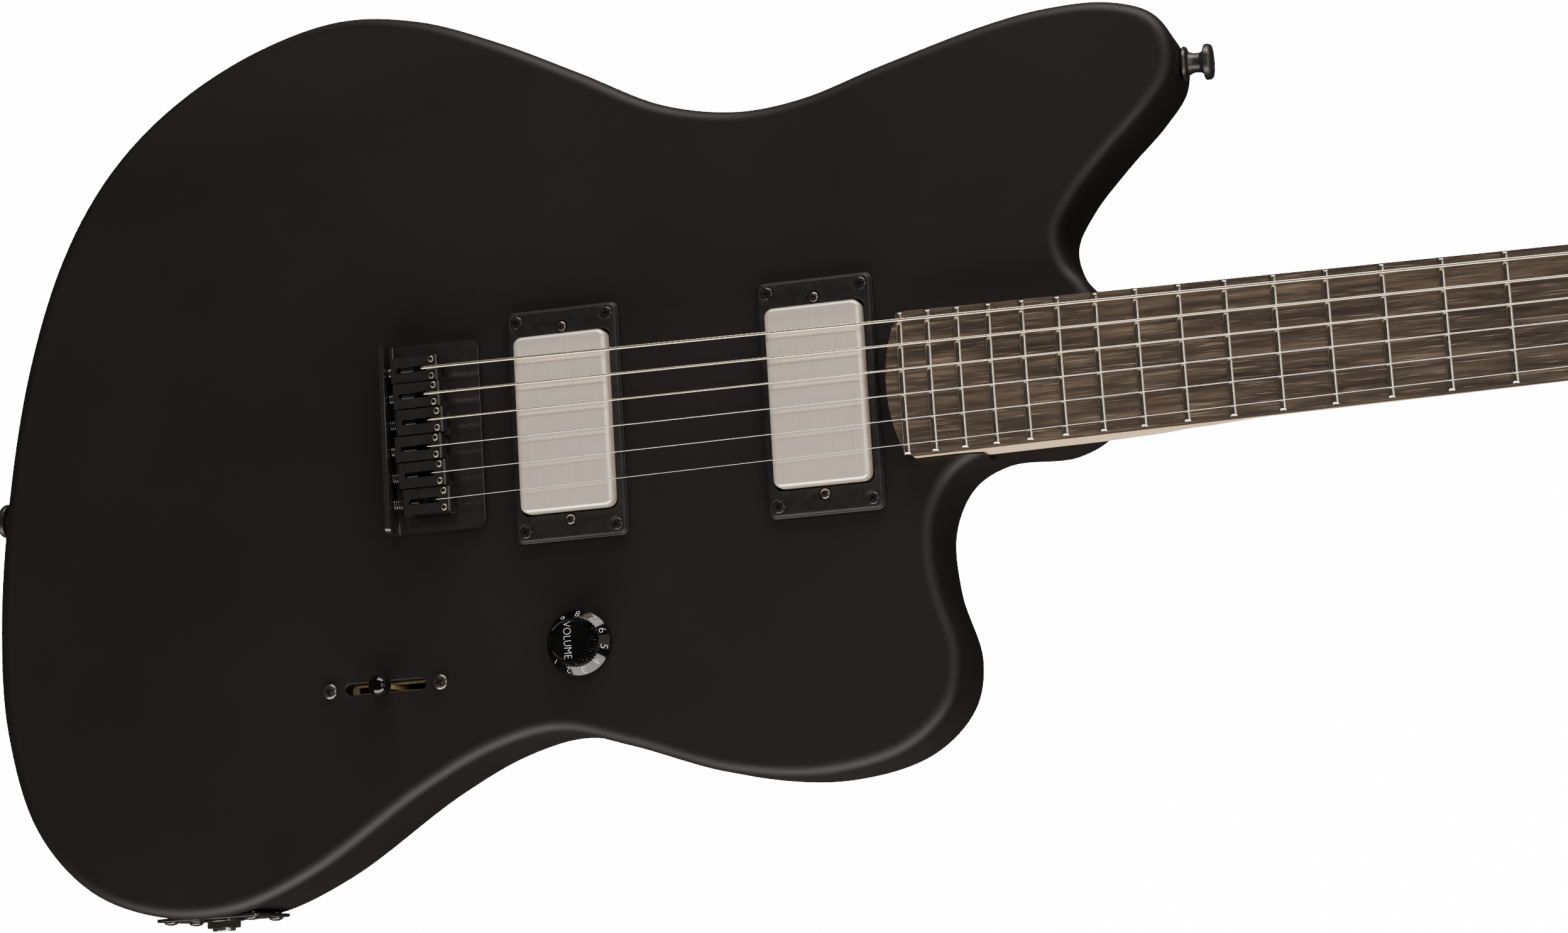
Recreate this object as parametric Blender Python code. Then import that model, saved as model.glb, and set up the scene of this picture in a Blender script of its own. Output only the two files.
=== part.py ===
"""An offset-body electric guitar with a fixed bridge, lying on its back.

Metres. +X runs along the strings from the bridge to the headstock, +Y points to the bass side and +Z out
of the face. The origin is on the flat back of the body, on the centre line, under the scale reference.
"""

import math

import bmesh
import bpy
from mathutils import Matrix, Vector
from mathutils.geometry import delaunay_2d_cdt

MM = 0.001
FIT = 0.3 * MM  # gap between pieces that touch or sit in one another

# Scale, frets and strings
SCALE = 648.0 * MM
FRET_COUNT = 22
STRING_COUNT = 6
STRING_RADII = [size * MM for size in (0.584, 0.457, 0.330, 0.216, 0.165, 0.127)]
BRIDGE_STRING_SPREAD = 52.5 * MM
NUT_STRING_SPREAD = 35.0 * MM
STRING_OVER_NUT_FRET = 0.4 * MM
STRING_OVER_FACE_AT_BRIDGE = 12.3 * MM

# Body
BODY_THICKNESS = 44.5 * MM
BODY_EDGE_RADIUS = 5.5 * MM
BODY_STRETCH_X = 1.0
OUTLINE_LAST_FRET_X = 181.9 * MM  # where the outline's points take the last fret to be
BODY_OUTLINE = [
    (258.5, 0.0), (258.0, 20.0), (252.5, 33.0), (246.0, 42.0), (244.0, 54.0), (251.0, 67.0),
    (266.0, 83.4), (282.0, 98.7), (291.0, 111.0), (291.5, 124.0), (284.5, 134.5), (268.0, 140.8),
    (245.0, 141.6), (221.6, 138.5), (178.5, 127.9), (145.8, 118.9), (119.0, 117.0), (88.6, 123.7),
    (55.8, 140.8), (21.5, 158.2), (-14.5, 173.0), (-50.0, 179.0), (-86.0, 172.0), (-120.0, 155.0),
    (-148.0, 130.0), (-172.6, 92.0), (-189.0, 48.0), (-200.0, -6.0), (-205.0, -60.0), (-203.0, -102.0),
    (-191.0, -142.0), (-168.0, -168.0), (-137.5, -180.0), (-104.0, -180.3), (-70.0, -167.8),
    (-22.0, -138.4), (8.0, -124.6), (34.0, -119.8), (62.0, -127.0), (102.4, -140.6), (140.0, -144.6),
    (173.0, -137.2), (190.8, -121.0), (195.0, -102.0), (188.5, -76.0), (188.0, -52.0), (196.5, -35.5),
    (211.0, -28.2), (238.0, -27.5), (253.0, -19.5),
]
OUTLINE_STEPS = 3
CONTOUR_GRID = 20.0 * MM
FOREARM_DIRECTION = math.radians(103.9)
FOREARM_START = 131.0 * MM
FOREARM_RADIUS = 130.0 * MM
BELLY_DIRECTION = math.radians(86.0)
BELLY_START = 88.0 * MM
BELLY_RADIUS = 62.0 * MM
BELLY_CENTRE_X = 85.0 * MM
BELLY_HALF_LENGTH = 115.0 * MM

# Neck and fingerboard
HEEL_START_AFTER_LAST_FRET = 1.1 * MM
HEEL_LENGTH = 71.0 * MM
POCKET_DEPTH = 19.0 * MM
POCKET_WIDTH = 56.0 * MM
POCKET_CLOSED_LENGTH = 26.0 * MM
BOARD_OVER_FACE = 9.5 * MM
BOARD_THICKNESS = 5.5 * MM
BOARD_RADIUS = 304.8 * MM
BOARD_WIDTH_LAST_FRET = 55.3 * MM
BOARD_WIDTH_NUT = 43.0 * MM
BOARD_END_OVERHANG = 6.6 * MM
BOARD_END_RADIUS = 68.0 * MM
BOARD_CORNER = 3.0 * MM
FRET_WIDTH = 2.7 * MM
FRET_HEIGHT = 1.2 * MM
FRET_TANG = 1.6 * MM
NECK_DEPTH_BODY_END = 22.0 * MM
NECK_DEPTH_NUT = 20.8 * MM
TRUSS_ROD_WIDTH = 5.4 * MM
TRUSS_ROD_HEIGHT = 9.0 * MM
TRUSS_ROD_FROM_HEEL_START = 17.0 * MM
TRUSS_ROD_TO_NUT = 8.0 * MM
NUT_LENGTH = 3.2 * MM
NUT_SEAT_LENGTH = 5.0 * MM
NECK_PLATE_SIZE = (52.0 * MM, 42.0 * MM, 2.0 * MM)
NECK_PLATE_FROM_HEEL_START = 29.0 * MM
NECK_BOLT_RADIUS = 2.3 * MM
NECK_BOLT_INSET = 6.5 * MM
NECK_BOLT_IN_NECK = 9.0 * MM

# Headstock and tuners
HEADSTOCK_UNDER_BOARD = 12.0 * MM
HEADSTOCK_THICKNESS = 14.0 * MM
HEADSTOCK_LENGTH = 186.0 * MM
HEADSTOCK_TREBLE_WIDTH = 27.0 * MM
HEADSTOCK_EDGE_TO_POST = 11.5 * MM
FIRST_POST_FROM_NUT = 38.0 * MM
POST_PITCH = 25.4 * MM
POST_RADIUS = 3.0 * MM
POST_TALLEST = 9.5 * MM
POST_SHORTEST = 6.0 * MM
STRING_BELOW_POST_TOP = 2.6 * MM
TUNER_LENGTH = 17.0 * MM
TUNER_DEPTH = 11.0 * MM
TUNER_BUSHING_WALL = 1.7 * MM
TUNER_FLANGE_LIP = 2.3 * MM
TUNER_FLANGE_HEIGHT = 1.6 * MM
KEY_SHAFT_RADIUS = 2.0 * MM
KEY_SHAFT_IN_HOUSING = 4.0 * MM
KEY_SHAFT_TO_POST = 0.5 * MM
KEY_SHAFT_OUTSIDE = 6.5 * MM
KEY_BUTTON_LENGTH = 13.0 * MM
KEY_BUTTON_HALF_WIDTH = 9.2 * MM
KEY_BUTTON_HALF_THICKNESS = 3.3 * MM

# Bridge
BRIDGE_PLATE_MARGIN = 11.25 * MM
BRIDGE_FRONT_X = 9.4 * MM
BRIDGE_FLANGE_FRONT_X = -27.0 * MM
BRIDGE_FLANGE_THICKNESS = 2.2 * MM
BRIDGE_FLANGE_HEIGHT = 12.0 * MM
BRIDGE_PLATE_THICKNESS = 2.0 * MM
SADDLE_FRONTS = [x * MM for x in (-4.9, -4.1, -3.0, -4.0, -3.0, -1.9)]
SADDLE_LENGTH = 19.5 * MM
SADDLE_SIDE_GAP = 0.4 * MM
SADDLE_TOP_THICKNESS = 3.2 * MM
SADDLE_BLOCK_LENGTH = 5.2 * MM
SADDLE_BLOCK_HEIGHT = 5.2 * MM
SADDLE_LIP_LENGTH = 2.0 * MM
SADDLE_LIP_HEIGHT = 7.4 * MM
SADDLE_NOSE = 0.9 * MM
SADDLE_SLOT_START = 4.4 * MM
SADDLE_SLOT_END = 17.2 * MM
SADDLE_SLOT_WIDTH = 2.2 * MM
HEIGHT_SCREW_RADIUS = 1.25 * MM
HEIGHT_SCREW_SPACING = 6.6 * MM
HEIGHT_SCREW_FROM_FRONT = 2.6 * MM
INTONATION_SCREW_RADIUS = 1.1 * MM
INTONATION_HEAD_RADIUS = 2.5 * MM
INTONATION_HEAD_LENGTH = 2.0 * MM
INTONATION_SCREW_LENGTH = 13.0 * MM
INTONATION_SCREW_OVER_FACE = 6.6 * MM
STRING_HOLE_X = -13.5 * MM
STRING_HOLE_RADIUS = 1.6 * MM
STRING_OUT_OF_SLOT = 1.3 * MM  # room for the saddle to slide back under its string
FERRULE_BLOCK_LENGTH = 8.0 * MM
FERRULE_BLOCK_MARGIN = 4.75 * MM
FERRULE_BLOCK_HEIGHT = 6.0 * MM
STRING_ANCHOR_Z = 3.0 * MM

# Pickups
BRIDGE_PICKUP_X = 44.7 * MM
NECK_PICKUP_BEFORE_LAST_FRET = 34.5 * MM
PICKUP_LENGTH = 69.9 * MM
PICKUP_WIDTH = 38.3 * MM
PICKUP_CORNER = 3.0 * MM
PICKUP_OVER_FACE = 8.0 * MM
PICKUP_HEIGHT = 20.0 * MM
PICKUP_TRAVEL = 2.0 * MM
PICKUP_EAR = 6.0 * MM
PICKUP_EAR_WIDTH = 12.0 * MM
PICKUP_EAR_THICKNESS = 2.0 * MM
RING_WINDOW_GAP = 0.6 * MM
RING_RIM = (3.25 * MM, 10.4 * MM)
RING_SLOPE = 0.9 * MM
RING_CORNER = 3.0 * MM
RING_HEIGHT = 3.0 * MM
PICKUP_ROUTE_GAP = 1.8 * MM

# Controls in the rear cavity
CAVITY_X = (-132.0 * MM, 72.0 * MM)
CAVITY_Y = (-104.0 * MM, -62.0 * MM)
CAVITY_CORNER = 10.0 * MM
CAVITY_ROOF = 7.5 * MM
COVER_LIP = 5.0 * MM
COVER_THICKNESS = 2.0 * MM
KNOB_X = 45.2 * MM
KNOB_Y = -86.3 * MM
KNOB_SKIRT_RADIUS = 13.0 * MM
KNOB_BARREL_RADIUS = 8.3 * MM
KNOB_BARREL_FOOT_RADIUS = 9.6 * MM
KNOB_HEIGHT = 14.0 * MM
KNOB_SKIRT_HEIGHT = 2.2 * MM
KNOB_CONE_HEIGHT = 5.2 * MM
KNOB_HOLLOW_RADIUS = 7.2 * MM
KNOB_HOLLOW_HEIGHT = 4.6 * MM
KNOB_OFF_FACE = 0.8 * MM
POT_RADIUS = 12.0 * MM
POT_HEIGHT = 9.0 * MM
POT_BUSHING_RADIUS = 4.7 * MM
POT_NUT_RADIUS = 6.2 * MM
POT_NUT_HEIGHT = 2.0 * MM
POT_SHAFT_RADIUS = 3.0 * MM
SWITCH_X = -36.5 * MM
SWITCH_Y = -96.5 * MM
SWITCH_SLOT = (33.7 * MM, 4.2 * MM)
SWITCH_SCREW_SPACING = 46.6 * MM
SWITCH_FRAME_SLOT = (28.4 * MM, 2.4 * MM)
SWITCH_FRAME_WIDTH = 12.0 * MM
SWITCH_FRAME_LENGTH = 34.0 * MM
SWITCH_FRAME_DEPTH = 19.0 * MM
SWITCH_SHEET = 1.2 * MM
SWITCH_PIVOT_UNDER_FACE = 22.0 * MM
SWITCH_PIN_RADIUS = 1.5 * MM
LEVER_WIDTH = 5.0 * MM
LEVER_THICKNESS = 1.6 * MM
LEVER_TOP_SHARE = 0.36  # half the blade's width inside the tip, as a share of the full width
LEVER_TOP_UNDER_TIP = 1.5 * MM
LEVER_TIP_RADIUS = 4.3 * MM
LEVER_TIP_OVER_FACE = 5.9 * MM
JACK_X = -119.0 * MM
RIM_CENTRE_Z = 22.0 * MM
JACK_FLAT_Y = -180.0 * MM
JACK_PLATE_SIZE = (46.0 * MM, 34.0 * MM, 1.4 * MM)
JACK_PLATE_CORNER = 5.0 * MM
JACK_BORE_RADIUS = 11.0 * MM
JACK_BARREL_RADIUS = 4.7 * MM
JACK_NUT_RADIUS = 7.2 * MM
JACK_NUT_HEIGHT = 3.0 * MM
JACK_BARREL_PROUD = 4.2 * MM
JACK_BODY_RADIUS = 8.0 * MM
JACK_BODY_LENGTH = 26.0 * MM
JACK_SOCKET_RADIUS = 3.3 * MM
BATTERY_SIZE = (48.5 * MM, 26.5 * MM, 17.5 * MM)
BATTERY_FROM_CORNER = (6.0 * MM, 4.0 * MM)

# Strap buttons
STRAP_BUTTON_AIMS = {"front": (330.0 * MM, 116.0 * MM),  # places beyond the outline
                     "rear": (-260.0 * MM, -5.0 * MM)}
STRAP_BUTTON_RADIUS = 7.0 * MM
STRAP_BUTTON_WAIST = 3.8 * MM
STRAP_BUTTON_LENGTH = 12.0 * MM
STRAP_SCREW_RADIUS = 1.8 * MM
STRAP_SCREW_LENGTH = 20.0 * MM

SIDES = 16  # sides of a small turned piece

# Heights and places that follow from the sizes above
FACE_Z = BODY_THICKNESS
POCKET_FLOOR_Z = FACE_Z - POCKET_DEPTH
BOARD_TOP_Z = FACE_Z + BOARD_OVER_FACE
BOARD_BOTTOM_Z = BOARD_TOP_Z - BOARD_THICKNESS
NECK_TOP_Z = BOARD_BOTTOM_Z - FIT
FRET_TOP_Z = BOARD_TOP_Z + FRET_HEIGHT
HEADSTOCK_TOP_Z = BOARD_TOP_Z - HEADSTOCK_UNDER_BOARD
HEADSTOCK_BOTTOM_Z = HEADSTOCK_TOP_Z - HEADSTOCK_THICKNESS
LAST_FRET_X = SCALE * 2 ** (-FRET_COUNT / 12)
BODY_X = LAST_FRET_X - OUTLINE_LAST_FRET_X  # the body and its controls sit where the neck joint puts them
HEEL_START_X = LAST_FRET_X + HEEL_START_AFTER_LAST_FRET
HEEL_END_X = HEEL_START_X + HEEL_LENGTH
POCKET_OPEN_FROM_X = HEEL_START_X + POCKET_CLOSED_LENGTH
NECK_PLATE_X = HEEL_START_X + NECK_PLATE_FROM_HEEL_START
TRUSS_ROD_START_X = HEEL_START_X + TRUSS_ROD_FROM_HEEL_START
TRUSS_ROD_END_X = SCALE - TRUSS_ROD_TO_NUT
PICKUP_CENTRES = {"bridge": BRIDGE_PICKUP_X, "neck": LAST_FRET_X - NECK_PICKUP_BEFORE_LAST_FRET}
KNOB_CENTRE = (BODY_X + KNOB_X, KNOB_Y)
SWITCH_CENTRE = (BODY_X + SWITCH_X, SWITCH_Y)
JACK_CENTRE_X = BODY_X + JACK_X
CAVITY_LOW = (BODY_X + CAVITY_X[0], CAVITY_Y[0])
CAVITY_HIGH = (BODY_X + CAVITY_X[1], CAVITY_Y[1])
BATTERY_LOW = (CAVITY_LOW[0] + BATTERY_FROM_CORNER[0], CAVITY_LOW[1] + BATTERY_FROM_CORNER[1])
RING_WINDOW = (PICKUP_WIDTH + 2 * RING_WINDOW_GAP, PICKUP_LENGTH + 2 * RING_WINDOW_GAP)
RING_BASE = (RING_WINDOW[0] + 2 * RING_RIM[0], RING_WINDOW[1] + 2 * RING_RIM[1])
RING_TOP = (RING_BASE[0] - 2 * RING_SLOPE, RING_BASE[1] - 2 * RING_SLOPE)
PICKUP_ROUTE = (PICKUP_WIDTH + 2 * PICKUP_ROUTE_GAP, PICKUP_LENGTH + 2 * PICKUP_ROUTE_GAP)
PICKUP_EAR_SPAN = PICKUP_LENGTH + 2 * PICKUP_EAR
PICKUP_EAR_ROUTE = (PICKUP_EAR_WIDTH + 4 * PICKUP_ROUTE_GAP, PICKUP_EAR_SPAN + 2 * PICKUP_ROUTE_GAP)
BRIDGE_PLATE_WIDTH = BRIDGE_STRING_SPREAD + 2 * BRIDGE_PLATE_MARGIN
FERRULE_BLOCK_SIZE = (FERRULE_BLOCK_LENGTH, BRIDGE_STRING_SPREAD + 2 * FERRULE_BLOCK_MARGIN,
                      FERRULE_BLOCK_HEIGHT)
TUNER_BUSHING_RADIUS = POST_RADIUS + TUNER_BUSHING_WALL
TUNER_FLANGE_RADIUS = TUNER_BUSHING_RADIUS + TUNER_FLANGE_LIP
TUNER_WIDTH = 2 * (POST_RADIUS + KEY_SHAFT_TO_POST + KEY_SHAFT_IN_HOUSING)
CAVITY_ROOF_Z = FACE_Z - CAVITY_ROOF
BRIDGE_TOP_Z = FACE_Z + FIT + BRIDGE_PLATE_THICKNESS
STRING_PITCH_BRIDGE = BRIDGE_STRING_SPREAD / (STRING_COUNT - 1)


# ---------------------------------------------------------------- materials

def material(name, colour, roughness, metallic=0.0):
    made = bpy.data.materials.new(name)
    made.use_nodes = True
    shader = made.node_tree.nodes["Principled BSDF"]
    shader.inputs["Base Color"].default_value = (*colour, 1.0)
    shader.inputs["Roughness"].default_value = roughness
    shader.inputs["Metallic"].default_value = metallic
    made.diffuse_color = (*colour, 1.0)
    return made


def make_materials():
    return {
        "body": material("satin_black_lacquer", (0.014, 0.013, 0.013), 0.42),
        "maple": material("satin_maple", (0.80, 0.60, 0.38), 0.38),
        "ebony": material("ebony", (0.045, 0.033, 0.026), 0.5),
        "bone": material("nut_bone", (0.82, 0.78, 0.66), 0.35),
        "gloss_black": material("gloss_black_metal", (0.012, 0.012, 0.013), 0.18, 0.6),
        "black_plastic": material("matte_black_plastic", (0.025, 0.025, 0.026), 0.5),
        "knob_plastic": material("gloss_black_plastic", (0.01, 0.01, 0.01), 0.12),
        "brushed": material("brushed_nickel", (0.62, 0.59, 0.55), 0.3, 1.0),
        "steel": material("bright_steel", (0.7, 0.69, 0.66), 0.22, 1.0),
        "nickel_wound": material("wound_nickel", (0.66, 0.6, 0.5), 0.3, 1.0),
        "zinc": material("plated_switch_steel", (0.55, 0.47, 0.33), 0.35, 1.0),
        "battery": material("battery_jacket", (0.05, 0.05, 0.055), 0.35),
    }


# ---------------------------------------------------------------- shapes

def ring_of(points, z):
    return [Vector((x, y, z)) for x, y in points]


def circle(radius, sides=SIDES, centre=(0.0, 0.0)):
    turns = [2 * math.pi * step / sides for step in range(sides)]
    return [(centre[0] + radius * math.cos(t), centre[1] + radius * math.sin(t)) for t in turns]


def rectangle(low, high):
    return [low, (high[0], low[1]), high, (low[0], high[1])]


def rounded_rectangle(centre, size, radius, steps=3):
    """Points round a rectangle with round corners, anticlockwise."""
    points = []
    for quarter, (sx, sy) in enumerate([(1, 1), (-1, 1), (-1, -1), (1, -1)]):
        corner = (centre[0] + sx * (size[0] / 2 - radius), centre[1] + sy * (size[1] / 2 - radius))
        for step in range(steps + 1):
            angle = math.pi / 2 * (quarter + step / steps)
            points.append((corner[0] + radius * math.cos(angle), corner[1] + radius * math.sin(angle)))
    return points


def loft(rings):
    """A closed solid through rings of equally many points. A ring of one point is a tip."""
    mesh = bmesh.new()
    rows = [[mesh.verts.new(point) for point in ring] for ring in rings]
    for lower, upper in zip(rows, rows[1:]):
        for here in range(max(len(lower), len(upper))):
            corners = [row[(here + step) % len(row)] for row, step in
                       ((lower, 0), (lower, 1), (upper, 1), (upper, 0))]
            mesh.faces.new(list(dict.fromkeys(corners)))
    for row in (rows[0], rows[-1]):
        if len(row) > 2:
            mesh.faces.new(row)
    return mesh


def band(rings):
    """A closed solid with a window: the rings go round its section, and the last meets the first."""
    mesh = bmesh.new()
    rows = [[mesh.verts.new(point) for point in ring] for ring in rings]
    for number, lower in enumerate(rows):
        upper = rows[(number + 1) % len(rows)]
        for here in range(len(lower)):
            there = (here + 1) % len(lower)
            mesh.faces.new((lower[here], lower[there], upper[there], upper[here]))
    return mesh


def prism(points, low, high):
    return loft([ring_of(points, low), ring_of(points, high)])


def box(low, high):
    return prism(rectangle(low[:2], high[:2]), low[2], high[2])


def turned(profile, sides=SIDES):
    """A solid of revolution about +Z through (radius, height) pairs, whose ends lie on the axis."""
    rings = [[Vector((0, 0, height))] if radius == 0 else ring_of(circle(radius, sides), height)
             for radius, height in profile]
    return loft(rings)


def rod(radius, start, end, sides=SIDES):
    """A plain cylinder from one point to another."""
    start, end = Vector(start), Vector(end)
    mesh = turned([(0, 0), (radius, 0), (radius, (end - start).length), (0, (end - start).length)], sides)
    mesh.transform(Matrix.Translation(start) @ axis_turn(end - start))
    return mesh


def axis_turn(direction):
    """The rotation that carries +Z to a direction."""
    return Vector(direction).normalized().to_track_quat("Z", "Y").to_matrix().to_4x4()


def add_object(name, mesh, finish=None, origin=(0.0, 0.0, 0.0)):
    """Makes a mesh given in world coordinates an object whose origin is at the given point."""
    bmesh.ops.recalc_face_normals(mesh, faces=mesh.faces)
    mesh.transform(Matrix.Translation(-Vector(origin)))
    data = bpy.data.meshes.new(name)
    mesh.to_mesh(data)
    mesh.free()
    data.shade_smooth()
    data.set_sharp_from_angle(angle=math.radians(32))
    made = bpy.data.objects.new(name, data)
    made.location = origin
    bpy.context.scene.collection.objects.link(made)
    if finish:
        data.materials.append(finish)
    return made


def combine(target, operation, mesh):
    """Adds or cuts a mesh with a Boolean whose other solid stays in the file as a hidden helper."""
    helper = add_object(f"{target.name}_{operation.lower()}_{len(target.modifiers)}", mesh)
    helper.hide_render = True
    helper.display_type = "WIRE"
    modifier = target.modifiers.new(helper.name, "BOOLEAN")
    modifier.operation = operation
    modifier.object = helper


def cut(target, mesh):
    combine(target, "DIFFERENCE", mesh)


def join(target, mesh):
    combine(target, "UNION", mesh)


# ---------------------------------------------------------------- lines shared by several pieces

def string_y(index, x):
    """A string's sideways place: even spacing at the bridge, drawn in towards the nut."""
    side = 1 - 2 * index / (STRING_COUNT - 1)
    share = x / SCALE
    return side / 2 * (BRIDGE_STRING_SPREAD * (1 - share) + NUT_STRING_SPREAD * share)


def camber(y):
    """How far the fingerboard's arc falls away at a distance from the centre line."""
    return BOARD_RADIUS - math.sqrt(BOARD_RADIUS ** 2 - y ** 2)


def string_underside(index, x):
    at_bridge = FACE_Z + STRING_OVER_FACE_AT_BRIDGE
    at_nut = FRET_TOP_Z + STRING_OVER_NUT_FRET
    return at_bridge + (at_nut - at_bridge) * x / SCALE - camber(string_y(index, x))


def board_half_width(x):
    share = (x - LAST_FRET_X) / (SCALE - LAST_FRET_X)
    return (BOARD_WIDTH_LAST_FRET * (1 - share) + BOARD_WIDTH_NUT * share) / 2


def post_place(index):
    """The centre of a tuner post, one post radius beside its string, so that each string runs straight."""
    x = SCALE + FIRST_POST_FROM_NUT + index * POST_PITCH
    return x, string_y(index, x) + POST_RADIUS + FIT + STRING_RADII[index]


def post_height(index):
    share = index / (STRING_COUNT - 1)
    return POST_TALLEST * (1 - share) + POST_SHORTEST * share


def key_direction():
    """Square to the line of the posts, towards the bass side."""
    first, last = post_place(0), post_place(STRING_COUNT - 1)
    along = Vector((last[0] - first[0], last[1] - first[1])).normalized()
    return Vector((-along.y, along.x, 0))


# ---------------------------------------------------------------- body

def smooth_outline(points, steps):
    """A closed centripetal Catmull-Rom curve through the points."""
    knots = [Vector(point) for point in points]
    count = len(knots)
    curve = []
    for number in range(count):
        p0, p1, p2, p3 = (knots[(number + shift) % count] for shift in (-1, 0, 1, 2))
        t1 = math.sqrt((p1 - p0).length)
        t2 = t1 + math.sqrt((p2 - p1).length)
        t3 = t2 + math.sqrt((p3 - p2).length)
        for step in range(steps):
            t = t1 + (t2 - t1) * step / steps
            a1 = p0.lerp(p1, t / t1)
            a2 = p1.lerp(p2, (t - t1) / (t2 - t1))
            a3 = p2.lerp(p3, (t - t2) / (t3 - t2))
            b1 = a1.lerp(a2, t / t2)
            b2 = a2.lerp(a3, (t - t1) / (t3 - t1))
            curve.append(b1.lerp(b2, (t - t1) / (t2 - t1)))
    return curve


def body_outline():
    points = [(BODY_X + x * MM * BODY_STRETCH_X, y * MM) for x, y in BODY_OUTLINE]
    return smooth_outline(points, OUTLINE_STEPS)


def outward(outline, number):
    along = outline[(number + 1) % len(outline)] - outline[number - 1]
    return Vector((along.y, -along.x)).normalized()


def past_line(x, y, direction, start):
    return max(0.0, x * math.cos(direction) + y * math.sin(direction) - start)


def forearm_drop(x, y):
    """How far the face falls away under the player's forearm."""
    return past_line(x - BODY_X, y, FOREARM_DIRECTION, FOREARM_START) ** 2 / (2 * FOREARM_RADIUS)


def belly_rise(x, y):
    """How far the back is hollowed at the bass-side waist."""
    share = (x - BODY_X - BELLY_CENTRE_X) / BELLY_HALF_LENGTH
    if abs(share) >= 1:
        return 0.0
    past = past_line(x - BODY_X, y, BELLY_DIRECTION, BELLY_START)
    return math.cos(share * math.pi / 2) ** 2 * past ** 2 / (2 * BELLY_RADIUS)


def inside(point, outline, margin):
    """Whether a point is inside a closed outline and at least a margin away from it."""
    crossings = 0
    for number, end in enumerate(outline):
        start = outline[number - 1]
        if (start.y > point.y) != (end.y > point.y):
            crossings += point.x < start.x + (point.y - start.y) / (end.y - start.y) * (end.x - start.x)
        along = end - start
        share = min(1.0, max(0.0, (point - start).dot(along) / along.length_squared))
        if (start + along * share - point).length < margin:
            return False
    return crossings % 2 == 1


def cap_face(mesh, rim, height):
    """Fills a rim of vertices with triangles, and adds grid points where the height isn't flat."""
    outline = [vertex.co.xy for vertex in rim]
    xs = [point.x for point in outline]
    ys = [point.y for point in outline]
    extra = []
    for row in range(int((max(ys) - min(ys)) / CONTOUR_GRID)):
        for column in range(int((max(xs) - min(xs)) / CONTOUR_GRID)):
            point = Vector((min(xs) + (column + 0.5) * CONTOUR_GRID, min(ys) + (row + 0.5) * CONTOUR_GRID))
            near_slope = any(abs(height(point.x + dx, point.y + dy) - height(0, 0)) > 0.05 * MM
                             for dx in (-CONTOUR_GRID / 2, CONTOUR_GRID / 2)
                             for dy in (-CONTOUR_GRID / 2, CONTOUR_GRID / 2))
            if near_slope and inside(point, outline, CONTOUR_GRID * 0.35):
                extra.append(point)
    places, _, triangles, sources, _, _ = delaunay_2d_cdt(
        outline + extra, [], [list(range(len(outline)))], 1, 1e-7)
    corners = []
    for place, source in zip(places, sources):
        if source and source[0] < len(rim):
            corners.append(rim[source[0]])
        else:
            corners.append(mesh.verts.new((place.x, place.y, height(place.x, place.y))))
    for triangle in triangles:
        mesh.faces.new([corners[number] for number in triangle])


def body_blank():
    """The body before any rout: one outline, rounded edges, and the forearm and belly contours."""
    outline = body_outline()
    inset = [point - outward(outline, number) * BODY_EDGE_RADIUS for number, point in enumerate(outline)]
    rings = []
    for share, angle in ((0, 0), (0, 45), (0, 90), (1, 90), (1, 45), (1, 0)):
        drawn_in = BODY_EDGE_RADIUS * (1 - math.sin(math.radians(angle)))
        lifted = BODY_EDGE_RADIUS * (1 - math.cos(math.radians(angle)))
        ring = []
        for number, point in enumerate(outline):
            place = point - outward(outline, number) * drawn_in
            low = belly_rise(*inset[number])
            high = FACE_Z - forearm_drop(*inset[number])
            ring.append(Vector((place.x, place.y, low + lifted if share == 0 else high - lifted)))
        rings.append(ring)
    mesh = bmesh.new()
    rows = [[mesh.verts.new(point) for point in ring] for ring in rings]
    for lower, upper in zip(rows, rows[1:]):
        for number in range(len(outline)):
            after = (number + 1) % len(outline)
            mesh.faces.new((lower[number], lower[after], upper[after], upper[number]))
    cap_face(mesh, rows[0], belly_rise)
    cap_face(mesh, rows[-1], lambda x, y: FACE_Z - forearm_drop(x, y))
    return mesh


def rim_place(aim):
    """The point of the body's side nearest to an aim, and the outward direction there."""
    outline = body_outline()
    target = Vector((BODY_X + aim[0], aim[1]))
    nearest = min(range(len(outline)), key=lambda number: (outline[number] - target).length)
    place = outline[nearest]
    return Vector((place.x, place.y, RIM_CENTRE_Z)), outward(outline, nearest).to_3d()


def neck_pocket():
    beyond = HEEL_END_X + 60 * MM
    half = POCKET_WIDTH / 2
    open_side = -3 * half
    points = [(HEEL_START_X - FIT, -half), (POCKET_OPEN_FROM_X, -half), (POCKET_OPEN_FROM_X, open_side),
              (beyond, open_side), (beyond, half), (HEEL_START_X - FIT, half)]
    return prism(points, POCKET_FLOOR_Z, BOARD_TOP_Z)


def neck_bolt_places():
    reach = [NECK_PLATE_SIZE[side] / 2 - NECK_BOLT_INSET for side in (0, 1)]
    return [(NECK_PLATE_X + sx * reach[0], sy * reach[1]) for sx in (-1, 1) for sy in (-1, 1)]


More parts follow.
